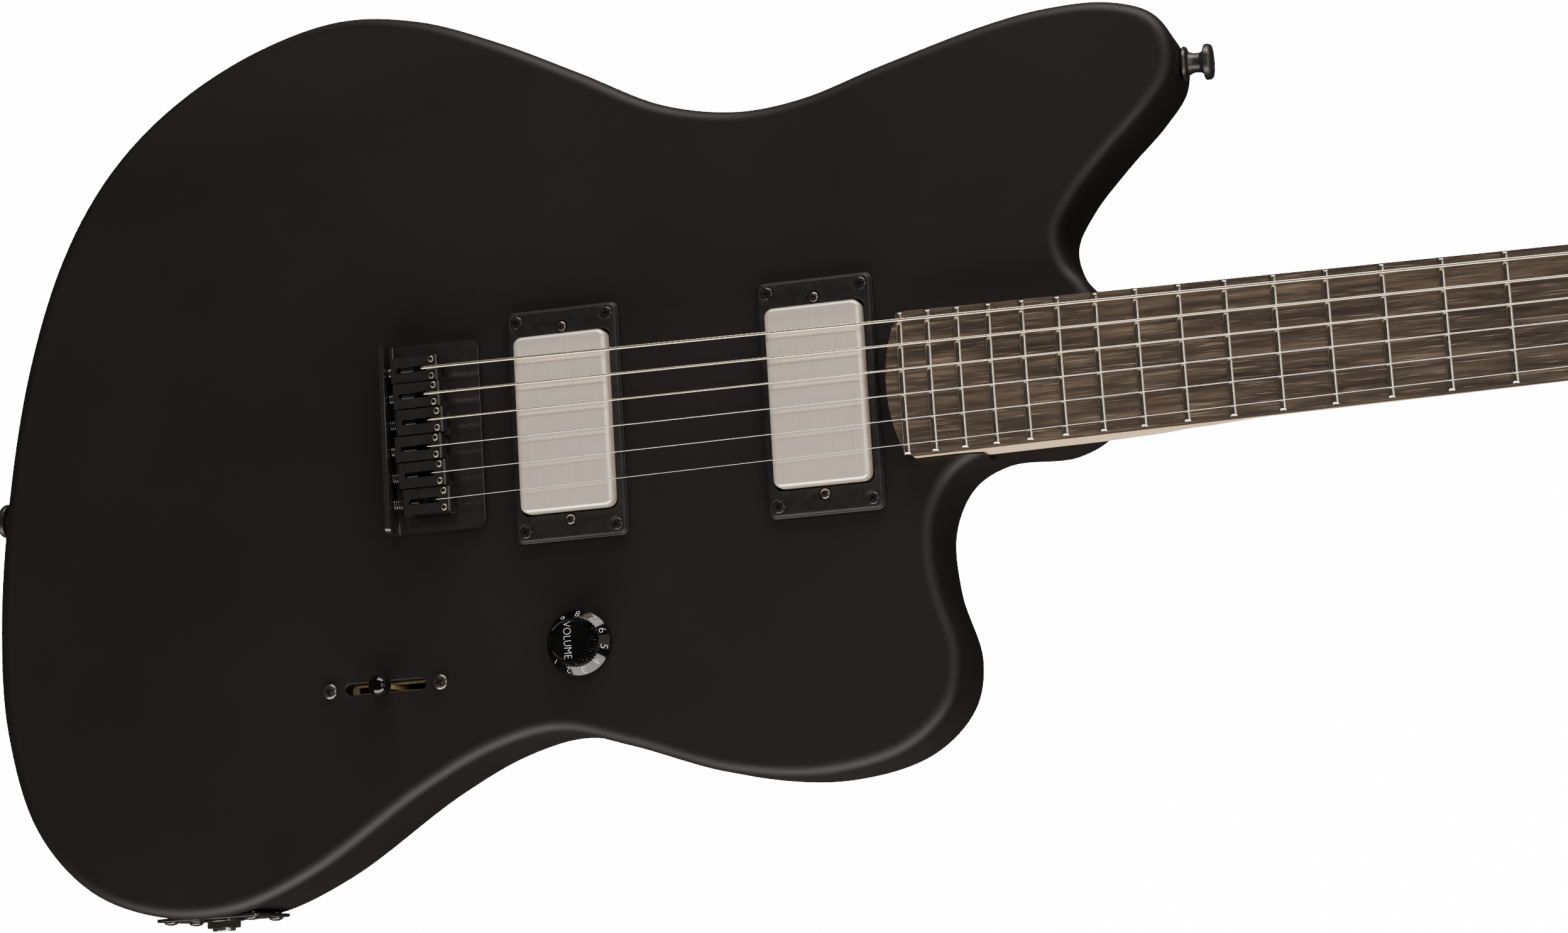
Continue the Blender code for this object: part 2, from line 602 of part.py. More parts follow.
def cut_body_routes(body):
    above = FACE_Z + 10 * MM
    cut(body, neck_pocket())
    for centre in PICKUP_CENTRES.values():
        floor = FACE_Z + PICKUP_OVER_FACE - PICKUP_HEIGHT - PICKUP_TRAVEL - PICKUP_ROUTE_GAP
        route = rounded_rectangle((centre, 0), PICKUP_ROUTE, PICKUP_CORNER)
        cut(body, prism(route, floor, above))
        cut(body, prism(rounded_rectangle((centre, 0), PICKUP_EAR_ROUTE, PICKUP_CORNER), floor, above))
    centre = [(low + high) / 2 for low, high in zip(CAVITY_LOW, CAVITY_HIGH)]
    size = [high - low for low, high in zip(CAVITY_LOW, CAVITY_HIGH)]
    cut(body, prism(rounded_rectangle(centre, size, CAVITY_CORNER), -5 * MM, CAVITY_ROOF_Z))
    recess = [length + 2 * COVER_LIP for length in size]
    recess_depth = COVER_THICKNESS + 2 * FIT
    cut(body, prism(rounded_rectangle(centre, recess, CAVITY_CORNER + COVER_LIP), -5 * MM, recess_depth))
    cut(body, prism(circle(POT_BUSHING_RADIUS + FIT, SIDES, KNOB_CENTRE), CAVITY_ROOF_Z - MM, above))
    slot = rounded_rectangle(SWITCH_CENTRE, SWITCH_SLOT, SWITCH_SLOT[1] / 2.01)
    cut(body, prism(slot, CAVITY_ROOF_Z - MM, above))
    cut_jack_seat(body)
    cut_string_holes(body)
    for x, y in neck_bolt_places():
        cut(body, prism(circle(NECK_BOLT_RADIUS + FIT, 10, (x, y)), -5 * MM, POCKET_FLOOR_Z + MM))
    for aim in STRAP_BUTTON_AIMS.values():
        place, direction = rim_place(aim)
        inner = place - direction * (STRAP_SCREW_LENGTH + MM)
        cut(body, rod(STRAP_SCREW_RADIUS + FIT, place + direction * 5 * MM, inner, 10))


def cut_jack_seat(body):
    length, height, thickness = JACK_PLATE_SIZE
    low = (JACK_CENTRE_X - length / 2 - FIT, JACK_FLAT_Y - 20 * MM, RIM_CENTRE_Z - height / 2 - FIT)
    high = (JACK_CENTRE_X + length / 2 + FIT, JACK_FLAT_Y, RIM_CENTRE_Z + height / 2 + FIT)
    cut(body, box(low, high))
    start = (JACK_CENTRE_X, JACK_FLAT_Y - 5 * MM, RIM_CENTRE_Z)
    end = (JACK_CENTRE_X, CAVITY_LOW[1] + 5 * MM, RIM_CENTRE_Z)
    cut(body, rod(JACK_BORE_RADIUS, start, end))


def cut_string_holes(body):
    size = [length + 2 * FIT for length in FERRULE_BLOCK_SIZE]
    low = (STRING_HOLE_X - size[0] / 2, -size[1] / 2, -5 * MM)
    cut(body, box(low, (-low[0] + 2 * STRING_HOLE_X, size[1] / 2, size[2])))
    for index in range(STRING_COUNT):
        hole = circle(STRING_HOLE_RADIUS, 8, (STRING_HOLE_X, string_y(index, 0)))
        cut(body, prism(hole, FERRULE_BLOCK_SIZE[2] - MM, FACE_Z + 5 * MM))


def make_body(finishes):
    body = add_object("body", body_blank(), finishes["body"])
    cut_body_routes(body)


def make_neck_plate(finishes):
    length, width, thickness = NECK_PLATE_SIZE
    recess = prism(rounded_rectangle((NECK_PLATE_X, 0), (length + 2 * FIT, width + 2 * FIT), 4 * MM),
                   -5 * MM, thickness + 2 * FIT)
    cut(bpy.data.objects["body"], recess)
    plate = prism(rounded_rectangle((NECK_PLATE_X, 0), (length, width), 4 * MM), FIT, FIT + thickness)
    plate = add_object("neck_plate", plate, finishes["gloss_black"])
    for x, y in neck_bolt_places():
        join(plate, rod(NECK_BOLT_RADIUS, (x, y, FIT + thickness / 2),
                        (x, y, POCKET_FLOOR_Z + NECK_BOLT_IN_NECK), 10))


# ---------------------------------------------------------------- neck

def neck_section(x, depth, squareness, top=NECK_TOP_Z):
    """One ring round the neck: a flat top, and a rounded underside that is squarer at the heel."""
    half = board_half_width(x)
    ring = []
    for step in range(13):
        angle = math.pi * step / 12
        y = half * math.copysign(abs(math.cos(angle)) ** (2 / squareness), math.cos(angle))
        ring.append(Vector((x, y, top - depth * abs(math.sin(angle)) ** (2 / squareness))))
    return ring


def headstock_outline():
    """A plain six-in-line paddle with a slanted bass edge that follows the posts."""
    first, last = Vector(post_place(0)), Vector(post_place(STRING_COUNT - 1))
    along = (last - first).normalized()
    edge = key_direction().xy * HEADSTOCK_EDGE_TO_POST
    start = SCALE + NUT_LENGTH
    half = board_half_width(SCALE)
    tip = SCALE + HEADSTOCK_LENGTH
    corners = [(start - 8 * MM, half - MM), (start + 9 * MM, half - MM), first + edge - along * 16 * MM,
               last + edge + along * 9 * MM, (tip - 7 * MM, last.y + 2 * MM),
               (tip, last.y - 12 * MM), (tip - 16 * MM, last.y - 22 * MM),
               (start + 62 * MM, -HEADSTOCK_TREBLE_WIDTH),
               (start + 22 * MM, -HEADSTOCK_TREBLE_WIDTH + 3 * MM),
               (start + 6 * MM, -half + MM), (start - 8 * MM, -half + MM)]
    return [tuple(corner) for corner in corners]


def make_neck(finishes):
    heel_depth = NECK_TOP_Z - POCKET_FLOOR_Z - FIT
    board = BOARD_THICKNESS + FIT
    body_end = NECK_DEPTH_BODY_END - board
    nut_end = NECK_DEPTH_NUT - board
    ramp_end = SCALE + NUT_SEAT_LENGTH
    drop = NECK_TOP_Z - HEADSTOCK_TOP_Z
    rings = [
        neck_section(HEEL_START_X, heel_depth, 9),
        neck_section(HEEL_END_X, heel_depth, 9),
        neck_section(HEEL_END_X + 16 * MM, 0.85 * heel_depth + 0.15 * body_end, 8),
        neck_section(HEEL_END_X + 36 * MM, (heel_depth + body_end) / 2, 4.5),
        neck_section(HEEL_END_X + 64 * MM, body_end, 2.5),
        neck_section((HEEL_END_X + SCALE) / 2, (body_end + nut_end) / 2, 2.2),
        neck_section(SCALE - 14 * MM, nut_end, 2.2),
        neck_section(SCALE, nut_end + 2 * MM, 2.6),
        neck_section(ramp_end, nut_end + 4 * MM, 3),
        neck_section(ramp_end + 7 * MM, nut_end - drop + 4 * MM, 3, HEADSTOCK_TOP_Z - 0.05 * MM),
    ]
    neck = add_object("neck", loft(rings), finishes["maple"])
    join(neck, prism(headstock_outline(), HEADSTOCK_BOTTOM_Z, HEADSTOCK_TOP_Z))
    channel = TRUSS_ROD_WIDTH / 2 + FIT
    floor = NECK_TOP_Z - TRUSS_ROD_HEIGHT - 2 * FIT
    cut(neck, box((TRUSS_ROD_START_X - FIT, -channel, floor),
                  (TRUSS_ROD_END_X + FIT, channel, NECK_TOP_Z + 5 * MM)))
    for x, y in neck_bolt_places():
        top = POCKET_FLOOR_Z + NECK_BOLT_IN_NECK + FIT
        cut(neck, prism(circle(NECK_BOLT_RADIUS + FIT, 10, (x, y)), POCKET_FLOOR_Z - MM, top))
    for index in range(STRING_COUNT):
        hole = circle(TUNER_BUSHING_RADIUS + FIT, 12, post_place(index))
        cut(neck, prism(hole, HEADSTOCK_BOTTOM_Z - 5 * MM, HEADSTOCK_TOP_Z + 5 * MM))


def make_truss_rod(finishes):
    half = TRUSS_ROD_WIDTH / 2
    top = NECK_TOP_Z - FIT
    rod_box = box((TRUSS_ROD_START_X, -half, top - TRUSS_ROD_HEIGHT), (TRUSS_ROD_END_X, half, top))
    add_object("truss_rod", rod_box, finishes["steel"])


def board_start(share):
    """Where the fingerboard begins, from the crown of its rounded end out to its corners."""
    half = board_half_width(LAST_FRET_X)
    y = abs(share) * half
    end = LAST_FRET_X - BOARD_END_OVERHANG + BOARD_END_RADIUS - math.sqrt(BOARD_END_RADIUS ** 2 - y ** 2)
    into_corner = y - (half - BOARD_CORNER)
    if into_corner > 0:
        end += BOARD_CORNER - math.sqrt(max(0.0, BOARD_CORNER ** 2 - into_corner ** 2))
    return end


def make_fingerboard(finishes):
    shares = (-1.0, -0.965, -0.88, -0.45, 0.0, 0.45, 0.88, 0.965, 1.0)
    rings = []
    for share in shares:
        ring = []
        for x in (board_start(share), SCALE - FIT):
            y = share * board_half_width(x)
            ring += [Vector((x, y, BOARD_BOTTOM_Z)), Vector((x, y, BOARD_TOP_Z - camber(y)))]
        rings.append([ring[0], ring[1], ring[3], ring[2]])
    board = add_object("fingerboard", loft(rings), finishes["ebony"])
    for number in range(1, FRET_COUNT + 1):
        join(board, fret(SCALE * 2 ** (-number / 12)))


def fret(x):
    """A fret wire with its tang in the board: a low trapezoid bent to the board's arc."""
    half = board_half_width(x) - FIT
    foot = FRET_WIDTH / 2
    crown = FRET_WIDTH / 4
    rings = []
    for share in (-1.0, -0.5, 0.0, 0.5, 1.0):
        y = share * half
        top = BOARD_TOP_Z - camber(y)
        shoulder = top + 0.2 * FRET_HEIGHT
        profile = [(x - foot, top - FRET_TANG), (x + foot, top - FRET_TANG), (x + foot, shoulder),
                   (x + crown, top + FRET_HEIGHT), (x - crown, top + FRET_HEIGHT), (x - foot, shoulder)]
        rings.append([Vector((px, y, pz)) for px, pz in profile])
    return loft(rings)


def make_nut(finishes):
    half = board_half_width(SCALE) - FIT
    rings = []
    for x in (SCALE, SCALE + NUT_LENGTH):
        ring = [Vector((x, -half, NECK_TOP_Z + FIT)), Vector((x, half, NECK_TOP_Z + FIT))]
        for share in (1.0, 0.6, 0.2, -0.2, -0.6, -1.0):
            y = share * half
            crown = FRET_TOP_Z + STRING_OVER_NUT_FRET - camber(y) - FIT
            ring.append(Vector((x, y, crown)))
        rings.append(ring)
    add_object("nut", loft(rings), finishes["bone"])


# ---------------------------------------------------------------- tuners

def make_tuner(index, finishes):
    x, y = post_place(index)
    post_top = HEADSTOCK_TOP_Z + post_height(index)
    housing_top = HEADSTOCK_BOTTOM_Z - FIT
    housing_bottom = housing_top - TUNER_DEPTH
    direction = key_direction()
    turn = Matrix.Translation((x, y, 0)) @ Matrix.Rotation(math.atan2(direction.y, direction.x), 4, "Z")
    number = index + 1

    # In the tuner's own frame +X runs from the post out to the key.
    outline = rounded_rectangle((0, 0), (TUNER_WIDTH, TUNER_LENGTH), 3 * MM, 2)
    case = prism(outline, housing_bottom, housing_top)
    case.transform(turn)
    housing = add_object(f"tuner_housing_{number}", case, finishes["gloss_black"], (x, y, housing_bottom))
    flange = HEADSTOCK_TOP_Z + FIT
    flange_top = HEADSTOCK_TOP_Z + TUNER_FLANGE_HEIGHT
    bushing = turned([(0, housing_top - MM), (TUNER_BUSHING_RADIUS, housing_top - MM),
                      (TUNER_BUSHING_RADIUS, flange), (TUNER_FLANGE_RADIUS, flange),
                      (TUNER_FLANGE_RADIUS, flange_top), (0, flange_top)], 12)
    bushing.transform(turn)
    join(housing, bushing)
    bore = turned([(0, housing_bottom + 2 * MM), (POST_RADIUS + FIT, housing_bottom + 2 * MM),
                   (POST_RADIUS + FIT, post_top), (0, post_top)], 12)
    bore.transform(turn)
    cut(housing, bore)
    key_z = (housing_bottom + housing_top) / 2
    face = TUNER_WIDTH / 2
    worm_bore = rod(KEY_SHAFT_RADIUS + FIT, (face - KEY_SHAFT_IN_HOUSING - FIT, 0, key_z),
                    (face + MM, 0, key_z), 10)
    worm_bore.transform(turn)
    cut(housing, worm_bore)

    post = turned([(0, housing_bottom + 2 * MM + FIT), (POST_RADIUS, housing_bottom + 2 * MM + FIT),
                   (POST_RADIUS, post_top), (0, post_top)], 12)
    post.transform(turn)
    add_object(f"tuner_post_{number}", post, finishes["gloss_black"], (x, y, post_top))

    key = key_solid()
    key.transform(turn @ Matrix.Translation((face - KEY_SHAFT_IN_HOUSING, 0, key_z)))
    axis_point = turn @ Vector((face, 0, key_z))
    add_object(f"tuner_key_{number}", key, finishes["gloss_black"], axis_point)


def key_solid():
    """A key along +X from its origin: a round shaft that swells into a flat oval button."""
    neck_end = KEY_SHAFT_IN_HOUSING + KEY_SHAFT_OUTSIDE
    shaft = KEY_SHAFT_RADIUS
    stations = [(0, shaft, shaft), (neck_end, shaft, shaft)]
    button = ((0.15, 0.75, 0.7), (0.45, 1.0, 1.0), (0.75, 0.95, 1.0), (1.0, 0.55, 0.6))
    for along, width, thickness in button:
        stations.append((neck_end + along * KEY_BUTTON_LENGTH, width * KEY_BUTTON_HALF_WIDTH,
                         thickness * KEY_BUTTON_HALF_THICKNESS))
    return loft([[Vector((along, thickness * y, width * z)) for y, z in circle(1.0, 12)]
                 for along, width, thickness in stations])


# ---------------------------------------------------------------- bridge

def make_bridge_plate(finishes):
    half = BRIDGE_PLATE_WIDTH / 2
    rear = BRIDGE_FLANGE_FRONT_X - BRIDGE_FLANGE_THICKNESS
    low = FACE_Z + FIT
    radius = 4 * MM
    corner = [math.radians(step * 30) for step in range(4)]
    outline = [(BRIDGE_FRONT_X - radius + radius * math.cos(a), half - radius + radius * math.sin(a))
               for a in corner]
    outline += [(rear, half), (rear, -half)]
    outline += [(BRIDGE_FRONT_X - radius + radius * math.cos(a), -half + radius - radius * math.sin(a))
                for a in reversed(corner)]
    plate = add_object("bridge_plate", prism(outline, low, BRIDGE_TOP_Z), finishes["gloss_black"])
    top = FACE_Z + BRIDGE_FLANGE_HEIGHT
    inner = 0.05 * MM
    chamfer = 2 * MM
    side = half - inner
    flange = [Vector((rear + inner, y, z)) for y, z in (
        (-side, low + inner), (side, low + inner), (side, top - chamfer), (half - chamfer, top),
        (chamfer - half, top), (-side, top - chamfer))]
    shift = Vector((BRIDGE_FLANGE_THICKNESS - inner, 0, 0))
    join(plate, loft([flange, [point + shift for point in flange]]))
    for index in range(STRING_COUNT):
        y = string_y(index, 0)
        cut(plate, prism(circle(STRING_HOLE_RADIUS, 8, (STRING_HOLE_X, y)), FACE_Z - MM, BRIDGE_TOP_Z + MM))
        z = FACE_Z + INTONATION_SCREW_OVER_FACE
        ends = ((rear - MM, y, z), (BRIDGE_FLANGE_FRONT_X + MM, y, z))
        cut(plate, rod(INTONATION_SCREW_RADIUS + FIT, *ends, 8))


def make_saddle(index, finishes):
    y = string_y(index, 0)
    front = SADDLE_FRONTS[index]
    rear = front - SADDLE_LENGTH
    top = string_underside(index, 0) - FIT
    half = (STRING_PITCH_BRIDGE - SADDLE_SIDE_GAP) / 2
    under = top - SADDLE_TOP_THICKNESS
    block = top - SADDLE_BLOCK_HEIGHT
    lip = top - SADDLE_LIP_HEIGHT
    profile = [(rear, top - 0.5 * MM), (rear + 0.5 * MM, top), (front - SADDLE_NOSE, top),
               (front - SADDLE_NOSE / 3, top - SADDLE_NOSE / 3), (front, top - SADDLE_NOSE), (front, block),
               (front - SADDLE_BLOCK_LENGTH, block), (front - SADDLE_BLOCK_LENGTH, under),
               (rear + SADDLE_LIP_LENGTH, under), (rear + SADDLE_LIP_LENGTH, lip), (rear, lip)]
    solid = loft([[Vector((px, y + side * half, pz)) for px, pz in profile] for side in (-1, 1)])
    origin = (front - HEIGHT_SCREW_FROM_FRONT, y, top)
    saddle = add_object(f"saddle_{index + 1}", solid, finishes["gloss_black"], origin)
    slot_centre = (front - (SADDLE_SLOT_START + SADDLE_SLOT_END) / 2, y)
    slot_size = (SADDLE_SLOT_END - SADDLE_SLOT_START, SADDLE_SLOT_WIDTH)
    slot = rounded_rectangle(slot_centre, slot_size, SADDLE_SLOT_WIDTH / 2.01, 2)
    cut(saddle, prism(slot, block - MM, top + MM))
    screw_z = FACE_Z + INTONATION_SCREW_OVER_FACE
    cut(saddle, rod(INTONATION_SCREW_RADIUS + FIT, (rear - MM, y, screw_z),
                    (rear + SADDLE_LIP_LENGTH + MM, y, screw_z), 8))
    for side in (-1, 1):
        place = (front - HEIGHT_SCREW_FROM_FRONT, y + side * HEIGHT_SCREW_SPACING / 2)
        join(saddle, prism(circle(HEIGHT_SCREW_RADIUS, 8, place), BRIDGE_TOP_Z + FIT, block + MM))


def make_intonation_screw(index, finishes):
    y = string_y(index, 0)
    z = FACE_Z + INTONATION_SCREW_OVER_FACE
    flange_back = BRIDGE_FLANGE_FRONT_X - BRIDGE_FLANGE_THICKNESS
    head_front = flange_back - FIT
    head_back = head_front - INTONATION_HEAD_LENGTH
    tip = flange_back + INTONATION_SCREW_LENGTH
    head, shank = INTONATION_HEAD_RADIUS, INTONATION_SCREW_RADIUS
    profile = [(0, head_back), (head * 0.7, head_back), (head, head_back + MM), (head, head_front),
               (shank, head_front), (shank, tip), (0, tip)]
    screw = turned(profile, 8)
    screw.transform(Matrix.Translation((0, y, z)) @ axis_turn((1, 0, 0)))
    add_object(f"intonation_screw_{index + 1}", screw, finishes["gloss_black"], (head_back, y, z))


def make_ferrule_block(finishes):
    length, width, height = FERRULE_BLOCK_SIZE
    block = box((STRING_HOLE_X - length / 2, -width / 2, FIT),
                (STRING_HOLE_X + length / 2, width / 2, height))
    block = add_object("ferrule_block", block, finishes["gloss_black"])
    for index in range(STRING_COUNT):
        hole = circle(STRING_HOLE_RADIUS, 8, (STRING_HOLE_X, string_y(index, 0)))
        cut(block, prism(hole, -MM, height + MM))


def string_route(index):
    """From the ferrule up through the body, the saddle's slot and the neck's length to the tuner post."""
    radius = STRING_RADII[index]
    y = string_y(index, 0)
    over_saddle = string_underside(index, 0) + radius
    slot_end = SADDLE_FRONTS[index] - SADDLE_SLOT_START
    route = [Vector((STRING_HOLE_X, y, STRING_ANCHOR_Z)),
             Vector((STRING_HOLE_X, y, BRIDGE_TOP_Z + 0.5 * MM)),
             Vector((slot_end - STRING_OUT_OF_SLOT - radius, y, over_saddle)),
             Vector((0, y, over_saddle))]
    for x in (SCALE, SCALE + NUT_LENGTH):
        route.append(Vector((x, string_y(index, x), string_underside(index, SCALE) + radius)))
    post_x, post_y = post_place(index)
    wrap = POST_RADIUS + FIT + radius
    wrap_top = HEADSTOCK_TOP_Z + post_height(index) - STRING_BELOW_POST_TOP
    points_per_turn = 10
    for step in range(int(1.3 * points_per_turn)):
        angle = -math.pi / 2 + 2 * math.pi * step / points_per_turn
        z = wrap_top - 2.4 * radius * step / points_per_turn
        route.append(Vector((post_x + wrap * math.cos(angle), post_y + wrap * math.sin(angle), z)))
    return route


def make_string(index, finishes):
    curve = bpy.data.curves.new(f"string_{index + 1}", "CURVE")
    curve.dimensions = "3D"
    curve.bevel_depth = STRING_RADII[index]
    curve.bevel_resolution = 1
    curve.use_fill_caps = True
    route = string_route(index)
    spline = curve.splines.new("POLY")
    spline.points.add(len(route) - 1)
    for point, place in zip(spline.points, route):
        point.co = (*place, 1.0)
    curve.materials.append(finishes["nickel_wound" if index < 3 else "steel"])
    made = bpy.data.objects.new(f"string_{index + 1}", curve)
    bpy.context.scene.collection.objects.link(made)


# ---------------------------------------------------------------- pickups

def make_pickup(place, centre, finishes):
    low = FACE_Z + FIT
    high = low + RING_HEIGHT
    outer = rounded_rectangle((centre, 0), RING_BASE, RING_CORNER)
    crest = rounded_rectangle((centre, 0), RING_TOP, RING_CORNER)
    window = rounded_rectangle((centre, 0), RING_WINDOW, RING_CORNER)
    ring = band([ring_of(outer, low), ring_of(outer, low + RING_HEIGHT / 2), ring_of(crest, high),
                 ring_of(window, high), ring_of(window, low)])
    add_object(f"{place}_pickup_ring", ring, finishes["black_plastic"])

    top = FACE_Z + PICKUP_OVER_FACE
    bottom = top - PICKUP_HEIGHT
    full = rounded_rectangle((centre, 0), (PICKUP_WIDTH, PICKUP_LENGTH), PICKUP_CORNER)
    edge = 1.2 * MM
    inner = rounded_rectangle((centre, 0), (PICKUP_WIDTH - 2 * edge, PICKUP_LENGTH - 2 * edge),
                              PICKUP_CORNER - edge)
    cover = loft([ring_of(full, bottom), ring_of(full, top - edge), ring_of(inner, top)])
    pickup = add_object(f"{place}_pickup", cover, finishes["brushed"], (centre, 0, bottom))
    ear_low = bottom + MM
    reach = PICKUP_LENGTH / 2 + PICKUP_EAR
    join(pickup, box((centre - PICKUP_EAR_WIDTH / 2, -reach, ear_low),
                     (centre + PICKUP_EAR_WIDTH / 2, reach, ear_low + PICKUP_EAR_THICKNESS)))


# ---------------------------------------------------------------- controls

def make_volume_control(finishes):
    x, y = KNOB_CENTRE
    place = Matrix.Translation((x, y, FACE_Z))
    shaft_top = KNOB_HEIGHT - 2.5 * MM
    base = KNOB_OFF_FACE
    knob = turned([
        (0, KNOB_HEIGHT), (KNOB_BARREL_RADIUS - 0.6 * MM, KNOB_HEIGHT),
        (KNOB_BARREL_RADIUS, KNOB_HEIGHT - 0.6 * MM), (KNOB_BARREL_FOOT_RADIUS, KNOB_CONE_HEIGHT),
        (KNOB_SKIRT_RADIUS - 0.3 * MM, KNOB_SKIRT_HEIGHT),
        (KNOB_SKIRT_RADIUS, KNOB_SKIRT_HEIGHT - 0.5 * MM),
        (KNOB_SKIRT_RADIUS, base), (KNOB_HOLLOW_RADIUS, base), (KNOB_HOLLOW_RADIUS, KNOB_HOLLOW_HEIGHT),
        (POT_SHAFT_RADIUS + FIT, KNOB_HOLLOW_HEIGHT), (POT_SHAFT_RADIUS + FIT, shaft_top + FIT),
        (0, shaft_top + FIT)], 24)
    knob.transform(place)
    add_object("volume_knob", knob, finishes["knob_plastic"], (x, y, FACE_Z))

    roof = -CAVITY_ROOF - FIT
    bushing_top = KNOB_HOLLOW_HEIGHT - 2 * FIT
    nut_top = FIT + POT_NUT_HEIGHT
    bore, bore_end = POT_SHAFT_RADIUS + FIT, roof - POT_HEIGHT / 2
    case = turned([
        (0, roof - POT_HEIGHT), (POT_RADIUS, roof - POT_HEIGHT), (POT_RADIUS, roof),
        (POT_BUSHING_RADIUS, roof), (POT_BUSHING_RADIUS, FIT), (POT_NUT_RADIUS, FIT),
        (POT_NUT_RADIUS, nut_top), (POT_BUSHING_RADIUS, nut_top), (POT_BUSHING_RADIUS, bushing_top),
        (bore, bushing_top), (bore, bore_end), (0, bore_end)])
    case.transform(place)
    add_object("volume_pot", case, finishes["steel"], (x, y, FACE_Z))

    bottom = bore_end + FIT
    radius = POT_SHAFT_RADIUS
    shaft = turned([(0, bottom), (radius, bottom), (radius, shaft_top), (0, shaft_top)], 12)
    shaft.transform(place)
    add_object("pot_shaft", shaft, finishes["steel"], (x, y, FACE_Z))


def make_switch(finishes):
    x, y = SWITCH_CENTRE
    pivot_z = FACE_Z - SWITCH_PIVOT_UNDER_FACE
    roof = CAVITY_ROOF_Z - FIT
    half_width = SWITCH_FRAME_WIDTH / 2
    half_length = SWITCH_FRAME_LENGTH / 2
    flange = SWITCH_SCREW_SPACING / 2 + 3.5 * MM
    frame = box((x - flange, y - half_width, roof - SWITCH_SHEET), (x + flange, y + half_width, roof))
    frame = add_object("switch_frame", frame, finishes["zinc"])
    inner = 0.02 * MM
    for side in (-1, 1):
        walls = sorted((y + side * (half_width - inner), y + side * (half_width - SWITCH_SHEET)))
        join(frame, box((x - half_length, walls[0], roof - SWITCH_FRAME_DEPTH),
                        (x + half_length, walls[1], roof - inner)))
    slot_half = [length / 2 for length in SWITCH_FRAME_SLOT]
    cut(frame, box((x - slot_half[0], y - slot_half[1], roof - SWITCH_SHEET - MM),
                   (x + slot_half[0], y + slot_half[1], roof + MM)))
    cut(frame, rod(SWITCH_PIN_RADIUS + FIT, (x, y - half_width - MM, pivot_z),
                   (x, y + half_width + MM, pivot_z), 12))

    tip_z = FACE_Z + LEVER_TIP_OVER_FACE
    half = LEVER_THICKNESS / 2
    blade_top = tip_z - LEVER_TOP_UNDER_TIP
    boss_low, boss_top, neck_low = pivot_z - 3 * MM, pivot_z + 3 * MM, FACE_Z - 4 * MM
    outline = [(-0.7, boss_low), (0.7, boss_low), (0.7, boss_top), (0.5, neck_low),
               (LEVER_TOP_SHARE, blade_top), (-LEVER_TOP_SHARE, blade_top), (-0.5, neck_low),
               (-0.7, boss_top)]
    blade = [Vector((x + share * LEVER_WIDTH, 0, z)) for share, z in outline]
    lever = loft([[point + Vector((0, y + side * half, 0)) for point in blade] for side in (-1, 1)])
    pivot = (x, y, pivot_z)
    lever = add_object("switch_lever", lever, finishes["zinc"], pivot)
    pin = half_width - FIT
    join(lever, rod(SWITCH_PIN_RADIUS, (x, y - pin, pivot_z), (x, y + pin, pivot_z), 12))

    radius = LEVER_TIP_RADIUS
    profile = [(0, -0.85), (0.6, -0.85), (0.9, -0.7), (1, -0.3), (1, 0), (0.92, 0.38), (0.7, 0.7),
               (0.38, 0.92), (0, 1)]
    cap = turned([(radius * across, radius * up) for across, up in profile], 14)
    cap.transform(Matrix.Translation((x, y, tip_z)))
    tip = add_object("switch_tip", cap, finishes["knob_plastic"], pivot)
    reach = (LEVER_TOP_SHARE * LEVER_WIDTH + FIT, half + FIT)
    cut(tip, box((x - reach[0], y - reach[1], tip_z - 2 * radius),
                 (x + reach[0], y + reach[1], blade_top + FIT)))


def make_jack(finishes):
    length, height, thickness = JACK_PLATE_SIZE
    outward_turn = Matrix.Translation((JACK_CENTRE_X, JACK_FLAT_Y, RIM_CENTRE_Z)) @ Matrix.Rotation(
        math.pi / 2, 4, "X")
    # In this frame +Z points out of the body's side.
    plate_out = FIT + thickness
    plate = prism(rounded_rectangle((0, 0), (length, height), JACK_PLATE_CORNER), FIT, plate_out)
    plate.transform(outward_turn)
    plate = add_object("jack_plate", plate, finishes["gloss_black"])
    hole = prism(circle(JACK_BARREL_RADIUS + FIT), -MM, plate_out + MM)
    hole.transform(outward_turn)
    cut(plate, hole)

    nut_out = plate_out + FIT + JACK_NUT_HEIGHT
    proud = plate_out + FIT + JACK_BARREL_PROUD
    deep = -JACK_BODY_LENGTH
    jack = turned([
        (0, deep), (JACK_BODY_RADIUS, deep), (JACK_BODY_RADIUS, -FIT), (JACK_BARREL_RADIUS, -FIT),
        (JACK_BARREL_RADIUS, plate_out + FIT), (JACK_NUT_RADIUS, plate_out + FIT),
        (JACK_NUT_RADIUS, nut_out),
        (JACK_BARREL_RADIUS, nut_out), (JACK_BARREL_RADIUS, proud), (JACK_SOCKET_RADIUS, proud),
        (JACK_SOCKET_RADIUS, deep + 2 * MM), (0, deep + 2 * MM)], 18)
    jack.transform(outward_turn)
    add_object("output_jack", jack, finishes["steel"])


def make_cavity_parts(finishes):
    centre = [(low + high) / 2 for low, high in zip(CAVITY_LOW, CAVITY_HIGH)]
    size = [high - low + 2 * COVER_LIP - 2 * FIT for low, high in zip(CAVITY_LOW, CAVITY_HIGH)]
    outline = rounded_rectangle(centre, size, CAVITY_CORNER + COVER_LIP - FIT)
    cover = prism(outline, FIT, FIT + COVER_THICKNESS)
    add_object("control_cover", cover, finishes["black_plastic"])
    low = (*BATTERY_LOW, COVER_THICKNESS + 3 * FIT)
    high = [start + length for start, length in zip(low, BATTERY_SIZE)]
    centre = [(start + end) / 2 for start, end in zip(low, high)]
    case = prism(rounded_rectangle(centre[:2], BATTERY_SIZE[:2], 2 * MM, 2), low[2], high[2])
    add_object("battery", case, finishes["battery"])


